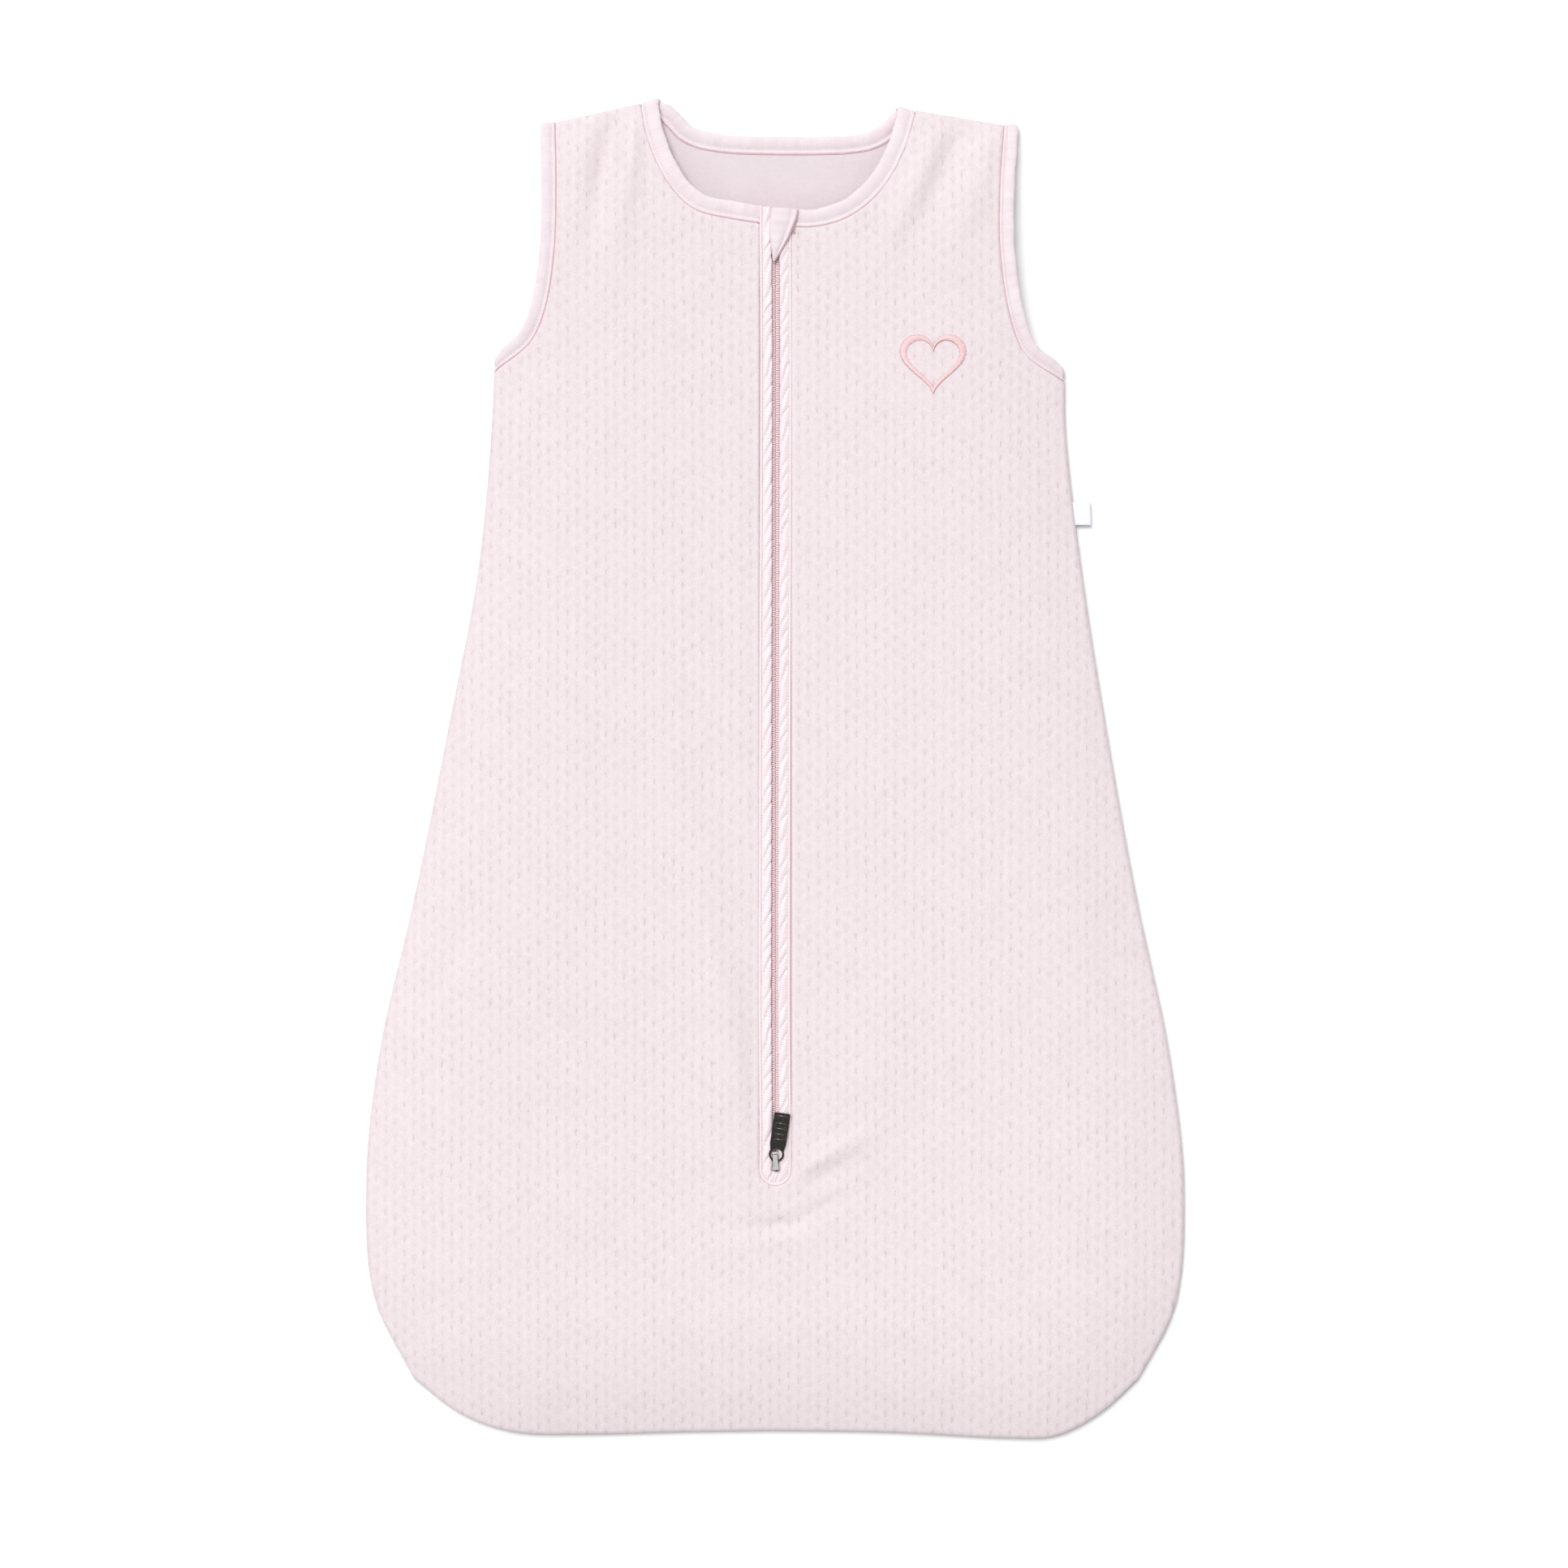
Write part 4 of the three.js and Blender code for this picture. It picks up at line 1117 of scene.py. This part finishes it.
def facing_path():
    """The facing's route down one side of the slot, round its foot and up the other: the place along the
    zip that each section starts from, and its flat way out from there."""
    foot = SLOT_END_Y - ZIP_FOOT_Y
    left_y = np.arange(ZIP_LENGTH + LEFT_PAST, foot, -FACING_STEP)
    right_y = np.arange(foot, ZIP_LENGTH - RIGHT_SHORT, FACING_STEP)
    turns = np.linspace(math.pi, 2 * math.pi, 64)[1:-1]
    origin = np.concatenate([left_y, np.full(len(turns), foot), right_y])
    way = np.concatenate([
        np.broadcast_to([-1.0, 0.0], (len(left_y), 2)),
        np.stack([np.cos(turns), np.sin(turns)], axis=1),
        np.broadcast_to([1.0, 0.0], (len(right_y), 2)),
    ])
    return origin, way


def creases(x, y, slant, pitch, drift, power):
    """Slanting creases: 1 at the bottom of each, 0 halfway between two."""
    phase = (y - slant * x) / pitch + drift
    return (1 - np.abs(np.sin(math.pi * phase))) ** power


def zip_facing():
    """The two satin welts as one strip, twisted into slanting creases and topstitched by its ridge."""
    origin, way = facing_path()
    count = len(origin)
    at = np.arange(count) * FACING_STEP
    gap = half_gap(origin + way[:, 1] * 3)
    wobble = (0.9 * waves(at, 60) + 0.5 * waves(at, 22))[:, None]
    strength = np.clip(0.5 + 0.5 * waves(at, 45), 0, 1)[:, None]
    shares = FACING_SHARES
    radius = gap[:, None] + shares * (WELT_OUT - gap[:, None])
    x = way[:, :1] * radius
    y = origin[:, None] + way[:, 1:] * radius
    valley = creases(x, y, 2.0, 10.5, wobble * 0.35, 3)
    small = creases(x, y, 2.4, 6.3, wobble * 0.6, 2)
    middle = np.sin(np.clip(shares / shares[-1], 0, 1) * math.pi) ** 0.6
    sunk = (1.4 * valley + 0.4 * small) * middle * (0.65 + 0.6 * strength)
    z = np.maximum(FACING_HEIGHTS - sunk, np.minimum(FACING_HEIGHTS, CREASE_FLOOR))
    radius = radius + (0.34 * valley + 0.12 * small) * (1 - shares) ** 2
    ridge = np.broadcast_to(np.array(RIDGE), (count, len(RIDGE), 2)).copy()
    ridge[:, :2, 1] += 0.07 * np.cos(at * (2 * math.pi / STITCH_PITCH))[:, None]
    under = np.stack([
        np.stack([np.full(count, 8.0), np.full(count, -0.5)], axis=1),
        np.stack([gap + 2.2, np.full(count, -0.7)], axis=1),
        np.stack([gap + 0.5, np.full(count, -0.75)], axis=1),
    ], axis=1)
    sections = np.concatenate([np.stack([radius, z], axis=-1), ridge, under], axis=1)
    sway = zip_sway(origin)
    flat = sections[:, :, :1] * way[:, None]
    points = np.concatenate([
        flat[:, :, :1] + sway[:, None, None],
        origin[:, None, None] + flat[:, :, 1:],
        sections[:, :, 1:],
    ], axis=-1)
    faces = solid_faces(count, sections.shape[1])
    piece = new_piece("zip_facing_satin", zip_place(points).reshape(-1, 3), faces, "bag", SATIN,
                      ["zip_facing"])
    face_outward(piece)

    def row(radius, z):
        x = way[:, 0] * radius + sway
        y = origin + way[:, 1] * radius
        return zip_place(np.stack([x, y, np.full(count, z)], axis=1))

    ups = np.broadcast_to(ZIP_UP, (count, 3))
    topstitching("zip_topstitching", row(STITCHES_OUT, STITCHES_Z), ups, "bag", 0.2)
    # Painted shade: a pink tube in the crease just past the ridge.
    seam_line("zip_seam_line", row(FACING_EDGE_OUT, FACING_EDGE_Z), ZIP_UP, "bag", 0.2)


TAPE_MIDDLE, TAPE_HALF, TAPE_Z = 6.56, 6.54, -3.1
TAPE_FOOT, TAPE_SHORT, TAPE_STEP = -11.5, 3, 1.5


def zip_tapes():
    """The woven tapes under the welts."""
    for side, label in SIDES:
        y = np.arange(TAPE_FOOT, ZIP_LENGTH - TAPE_SHORT, TAPE_STEP)
        x = np.full_like(y, side * TAPE_MIDDLE)
        p = zip_place(np.stack([x, y, TAPE_Z + 0.12 * waves(y, 30)], axis=1))
        w = np.broadcast_to([1.0, 0.0, 0.0], p.shape)
        n = np.broadcast_to(UP, p.shape)
        places = [-TAPE_HALF, -TAPE_HALF / 2, 0, TAPE_HALF / 2, TAPE_HALF]
        sections = flat_sections(places, [0.12, 0.3, 0.3, 0.3, 0.12])
        node = f"zip_tape_{label}"
        piece = swept(node + "_woven", p, w, n, sections, "bag", TAPE, [node])


COIL_PITCH = 0.95
COIL_MIDDLE, COIL_HALF_WIDE, COIL_HALF_HIGH = 1.32, 0.98, 0.6
COIL_Z, COIL_FOOT, COIL_SHORT, COIL_THREAD = -2.7, -7.2, 14, 0.4
COIL_STEPS = 11  # sections in a turn


def zip_coils():
    """Each coil is one nylon thread wound flat round its cord, its loops meshed in the other's."""
    for side, label in SIDES:
        t = np.arange(0, (ZIP_LENGTH - COIL_SHORT - COIL_FOOT) / COIL_PITCH, 1 / COIL_STEPS)
        angle = 2 * math.pi * t
        y = COIL_FOOT + COIL_PITCH * (t + (0.5 if side == LEFT else 0))
        x = side * (COIL_MIDDLE + COIL_HALF_WIDE * np.cos(angle))
        z = COIL_Z + COIL_HALF_HIGH * np.sin(angle)
        line = zip_place(np.stack([x, y, z], axis=1))
        cord = zip_place(np.stack([0 * y + side * COIL_MIDDLE, y, 0 * y + COIL_Z], axis=1))
        outward = unit(line - cord)
        sections = tube_sections(COIL_THREAD, 5)
        node = f"zip_coil_{label}"
        swept(node + "_wound", line, across_of(line, outward), outward, sections, "bag", NYLON,
              [node])


GUARD_BASE = 1.3  # the height of the guard's underside above the panel
GUARD_STEPS = 60


def guard_flap():
    """The flap over the top of the zip: a folded piece of the band's jersey with a piped edge."""
    left = spline([(-2.2, 0.8), (-3.1, -8), (-2.8, -15), (-1.1, -27.4)], GUARD_STEPS)
    right = spline([
        (11.9, 0.2), (10.9, -4.5), (8.5, -10.4), (5.7, -16.6), (2.1, -22.6), (-1.1, -27.4),
    ], GUARD_STEPS)
    shares = np.array([0, 0.01, 0.05, 0.12, 0.25, 0.42, 0.6, 0.74, 0.8, 0.84, 0.9, 0.96, 0.99, 1.0])
    heights = np.array([0.1, 0.75, 1.25, 1.65, 2.0, 2.1, 1.85, 1.3, 0.7, 1.0, 1.55, 1.4, 0.8, 0.1])
    grid = left[:, None] * (1 - shares[:, None]) + right[:, None] * shares[:, None]
    plump = np.clip(np.linalg.norm(right - left, axis=1) / 6, 0.25, 1)
    plump = plump * (1 + 0.08 * waves(np.arange(GUARD_STEPS + 1), 14))
    z = GUARD_BASE + heights * plump[:, None]
    bottom = np.dstack([grid, np.full(z.shape, GUARD_BASE)])
    cells = np.concatenate([np.dstack([grid, z]), bottom[:, ::-1]], axis=1)
    cells[..., 1] += ZIP_LENGTH
    faces = solid_faces(*cells.shape[:2])
    piece = new_piece("zip_guard_flap", zip_place(cells).reshape(-1, 3), faces, "guard", JERSEY,
                      ["zip_guard"])
    face_outward(piece, 1e-6)
    edge = right[2:-1] + [0.25, ZIP_LENGTH - 0.15]
    line = zip_place(np.column_stack([edge, np.full(len(edge), 1.8)]))
    # Painted shade: a pink tube in the crease along the guard's piped edge.
    seam_line("zip_guard_seam_line", line, UP, "guard", 0.22)


TACK_STITCHES, TACK_FROM, TACK_TO = 11, -12.5, -4.5  # from the zip's neck end
TACK_X, TACK_HALF_WIDE, TACK_Z = 9.6, 0.75, 1.55


def bar_tack():
    """The close zigzag that fastens the guard's root beside the zip."""
    number = np.arange(TACK_STITCHES + 1)
    y = ZIP_LENGTH + np.linspace(TACK_FROM, TACK_TO, len(number))
    x = TACK_X + TACK_HALF_WIDE * np.where(number % 2 == 0, -1, 1)
    marks = zip_place(np.stack([x, y, np.full(len(number), TACK_Z)], axis=1))
    ups = np.broadcast_to(UP, (TACK_STITCHES, 3))
    stitches("guard_bar_tack", marks[:-1], marks[1:], ups, 0.24, "bag", PINK_THREAD_AND_CREASE_SHADE)


def small_zip_parts():
    """The frame's own slider, pull, stops and box, in their materials."""
    for name, material in (
        ("slider_body", NICKEL), ("slider_crown", NICKEL), ("pull_tab", GUNMETAL),
        ("zip_foot_stop_left", NYLON), ("zip_foot_stop_right", NYLON), ("zip_pin", NYLON),
        ("zip_retainer_box", NYLON),
    ):
        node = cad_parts[name]
        node.data.materials.clear()
        node.data.materials.append(material)
        if material is not NYLON:
            edge = node.modifiers.new("Worn edges", "BEVEL")
            edge.width = (0.45 if name == "slider_crown" else 0.22) * MM
            edge.segments = 3
            edge.limit_method = "ANGLE"
            edge.harden_normals = True


PULL_LEAN = math.radians(-8.5)
PULL_PIVOT_Y, PULL_PIVOT_Z = 0.5, 1.9  # along and above, in the zip's frame
GRIPS = [(11.2, 5.6), (14.0, 5.6), (16.8, 5.6), (19.6, 5.6), (23.4, 6.6)]  # from the pivot, and width
GRIP_HALF_LONG, GRIP_HALF_HIGH, GRIP_Z = 0.5, 0.32, 0.42


def pull_grips():
    """Plain raised bars across the pull, for the fingers."""
    work = bmesh.new()
    for from_pivot, wide in GRIPS:
        for vert in bmesh.ops.create_cube(work, size=2)["verts"]:
            x, y, z = vert.co
            vert.co = Vector((x * wide / 2, y * GRIP_HALF_LONG + from_pivot, z * GRIP_HALF_HIGH + GRIP_Z))
    bmesh.ops.bevel(work, geom=work.edges[:], offset=0.2, segments=2, affect="EDGES")
    x, y, z = np.array([tuple(v.co) for v in work.verts]).T
    faces = [tuple(v.index for v in f.verts) for f in work.faces]
    work.free()
    cos_lean, sin_lean = math.cos(PULL_LEAN), math.sin(PULL_LEAN)
    points = np.stack([
        x * cos_lean - y * sin_lean,
        x * sin_lean + y * cos_lean + PULL_PIVOT_Y,
        z + PULL_PIVOT_Z,
    ], axis=1)
    # The bars take the lighter metal: part wear, part painted highlight.
    new_piece("pull_grip_bars", zip_place(points), faces, "pull", WORN_AND_HIGHLIT_GUNMETAL)


# ---- label, embroidery and seams ----
LABEL_Y, LABEL_HALF_WIDE = 132.8, 6.0
LABEL_ROOT, LABEL_TIP = 154.6, 164.6
LABEL_Z, LABEL_HALF_HIGH = 2.9, 0.75
LABEL_THICK, LABEL_TIP_THICK = 0.22, 0.2
LABEL_SLACK, LABEL_TILT = 0.35, 0.09  # how its free end waves, and how it leans


def side_label():
    """A blank white tape folded in two, its ends caught in the side seam."""
    y = np.linspace(LABEL_Y - LABEL_HALF_WIDE, LABEL_Y + LABEL_HALF_WIDE, 25)
    turn = np.linspace(-math.pi / 2, math.pi / 2, 9)[1:-1]
    bend = LABEL_TIP - LABEL_HALF_HIGH
    run = np.linspace(LABEL_ROOT, bend, 12)
    loop_x = np.concatenate([run, bend + LABEL_HALF_HIGH * np.cos(turn), run[::-1]])
    loop_z = LABEL_Z + LABEL_HALF_HIGH * np.concatenate([0 * run - 1, np.sin(turn), 0 * run + 1])
    lift = (loop_x - LABEL_ROOT) / (LABEL_TIP - LABEL_ROOT)
    tilt = (y - LABEL_Y)[:, None] * LABEL_TILT
    x = loop_x[None] - LABEL_SLACK * tilt * lift
    z = loop_z[None] + LABEL_SLACK * lift * np.sin((y - 128)[:, None] / 5)
    inner_x = np.where(loop_x > bend, loop_x - LABEL_TIP_THICK, loop_x)
    inner_z = LABEL_Z + (loop_z - LABEL_Z) * (LABEL_HALF_HIGH - LABEL_THICK) / LABEL_HALF_HIGH
    outer = np.dstack([x, np.broadcast_to(y[:, None], x.shape), z])
    inner = outer.copy()
    inner[..., 0] += (inner_x - loop_x)[None]
    inner[..., 2] += (inner_z - loop_z)[None]
    cells = np.concatenate([outer, inner[:, ::-1]], axis=1)
    size = cells.shape[1]
    faces = grid_faces(len(y), size, wrap=True)
    for row in (0, (len(y) - 1) * size):
        faces += [
            (row + k, row + k + 1, row + size - 2 - k, row + size - 1 - k) for k in range(size // 2 - 1)
        ]
    piece = new_piece("side_label_tape", cells.reshape(-1, 3), faces, "bag", LABEL,
                      ["side_label"])
    face_outward(piece)


HEART_X, HEART_Y = 82, 210
HEART_SIZE, HEART_HALF_LINE = 15.5, 1.7  # half the heart's width, and half the width of its line
HEART_PITCH = 0.34  # from one stitch to the next
HEART_SLANT = 3  # stitches that the inner ends are shifted by
BACKING_HALF_WIDE, BACKING_HALF_HIGH, BACKING_THICK = 20, 18, 0.4


def heart_curve(turn, scale):
    """Flat points round a heart whose half width is scale."""
    x = 16 * np.sin(turn) ** 3
    y = 13 * np.cos(turn) - 5 * np.cos(2 * turn) - 2 * np.cos(3 * turn) - np.cos(4 * turn)
    return np.stack([HEART_X + x * scale / 16, HEART_Y + (y + 2) * scale / 16], axis=-1)


def embroidered_heart(top):
    """A heart in satin stitch: threads side by side across the line, domed over a padding row."""
    turn = np.linspace(0, 2 * math.pi, 2400, endpoint=False)
    middle = heart_curve(turn, HEART_SIZE)
    steps = along_of(np.vstack([middle, middle[:1]]))
    count = int(steps[-1] / HEART_PITCH)
    at = np.interp(np.arange(count) * steps[-1] / count, steps[:-1], turn)
    inner = np.roll(heart_curve(at, HEART_SIZE - HEART_HALF_LINE), HEART_SLANT, axis=0)
    outer = heart_curve(at, HEART_SIZE + HEART_HALF_LINE)
    jitter = RANDOM.normal(size=(count, 1)) * 0.035
    way = outer - inner
    inner, outer = inner - way * jitter, outer + way * jitter
    shares = np.linspace(0, 1, 7)
    flat = inner[:, None] * (1 - shares[:, None]) + outer[:, None] * shares[:, None]
    ground = top(flat.reshape(-1, 2)).reshape(count, len(shares))
    dome = 0.25 + 0.85 * np.sqrt(np.maximum(0, 1 - (2 * shares - 1) ** 2))
    step = unit(way)
    crosses = np.column_stack([-step[:, 1], step[:, 0], np.zeros(count)])
    ups = np.broadcast_to(UP, (count, 3))
    threads("embroidered_heart_stitches", np.dstack([flat, ground + dome]), crosses, ups, 0.23, 0.2, 5,
            "bag", EMBROIDERY, ["embroidered_heart"])


def embroidery_backing(top):
    """The interlining patch behind the heart, inside the panel."""
    count = 21
    under = count**2
    side = np.linspace(-1, 1, count)
    x, y = np.meshgrid(HEART_X + BACKING_HALF_WIDE * side, HEART_Y + BACKING_HALF_HIGH * side)
    flat = np.stack([x.ravel(), y.ravel()], axis=1)
    upper = np.column_stack([flat, top(flat) - KNIT - 0.35])
    lower = upper - [0, 0, BACKING_THICK]
    up = grid_faces(count, count)
    faces = up + [face[::-1] for face in grid_faces(count, count, under)]
    faces += [(a, b, b + under, a + under) for a, b in rim_of(up)]
    piece = new_piece("embroidery_backing_patch", np.vstack([upper, lower]), faces, "bag", LABEL,
                      ["embroidery_backing"])
    face_outward(piece)


SEAM_IN = 6.2  # from the bag's edge to the middle of the allowances


def seam_strip(name, line, node):
    """A trimmed seam allowance inside the bag, oversewn along its edge."""
    line = resampled(line, int(along_of(line)[-1] / 2))
    at = along_of(line)
    p = np.column_stack([line, np.full(len(line), KNIT + 0.75) + 0.04 * waves(at, 11)])
    w = np.column_stack([normals_of(line), np.zeros(len(line))])
    n = np.broadcast_to(UP, p.shape)
    sections = flat_sections([-2.5, -2.3, 0, 2.3, 2.5], [0.1, 0.36, 0.4, 0.36, 0.1])
    piece = swept(name, p, w, n, sections, "bag", JERSEY, [node])


def seams():
    """The seam allowances inside the bag, down its sides, round its foot and at its shoulders."""
    line = np.vstack([
        SIDE_LINE[RIGHT][10:], HEM_LINE[RIGHT][1:],
        HEM_LINE[LEFT][::-1][1:], SIDE_LINE[LEFT][::-1][1:-10],
    ])
    inside = (line - normals_of(line) * SEAM_IN)[::3]
    seam_strip("side_and_foot_seam_strip", inside, "side_and_foot_seam")
    for side, label in SIDES:
        neck_end, arm_end = SHOULDER_LINE[side]
        way = arm_end - neck_end
        line = resampled(np.array([neck_end + way * 0.12, neck_end + way * 0.9]), 8)
        inside = line - normals_of(line) * side * SEAM_IN
        seam_strip(f"shoulder_seam_{label}_strip", inside, f"shoulder_seam_{label}")


# ---- stage ----
def stage():
    """A pale floor, an even sky, one soft light and the camera, straight above the bag."""
    scene = bpy.context.scene
    floor = bpy.data.meshes.new("studio_floor")
    half, down = 15.0, -0.0003
    corners = [(-half, -half, down), (half, -half, down), (half, half, down), (-half, half, down)]
    floor.from_pydata(corners, [], [(0, 1, 2, 3)])
    floor.materials.append(Look("studio_floor", (0.9, 0.9, 0.9), 0.9, specular=0.1).material)
    piece = bpy.data.objects.new("studio_floor", floor)
    scene.collection.objects.link(piece)

    world = bpy.data.worlds.new("studio")
    world.use_nodes = True
    sky = world.node_tree.nodes["Background"].inputs
    sky["Color"].default_value = (1, 1, 1, 1)
    sky["Strength"].default_value = 0.55
    scene.world = world

    sun = bpy.data.lights.new("soft_key", "SUN")
    sun.energy = 2.3
    sun.angle = math.radians(30)
    key = bpy.data.objects.new("soft_key", sun)
    key.rotation_euler = Vector((0.23, -0.38, -1.0)).to_track_quat("-Z", "Y").to_euler()
    scene.collection.objects.link(key)

    camera = bpy.data.cameras.new("camera")
    view_width, distance = 0.8162, 2.6
    camera.sensor_width = 36
    camera.lens = camera.sensor_width * distance / view_width
    eye = bpy.data.objects.new("camera", camera)
    eye.location = (0.00465, -0.00824, distance + 0.008)
    scene.collection.objects.link(eye)
    scene.camera = eye
    scene.view_settings.view_transform = "Standard"


def height_over(piece):
    """A function that gives the height of a piece's top at flat points."""
    tree = BVHTree.FromObject(piece, bpy.context.evaluated_depsgraph_get())

    def top(flat):
        heights = []
        for x, y in flat:
            hit = tree.ray_cast(Vector((x * MM, y * MM, 0.1)), Vector((0, 0, -1)))[0]
            heights.append(hit.z / MM)
        return np.array(heights)

    return top


stage()
front = front_panel()
back_panel()
neck_band()
for side, label in SIDES:
    armhole_band(side, label)
zip_facing()
zip_tapes()
zip_coils()
guard_flap()
bar_tack()
small_zip_parts()
pull_grips()
side_label()
front_height = height_over(front)
embroidered_heart(front_height)
embroidery_backing(front_height)
seams()
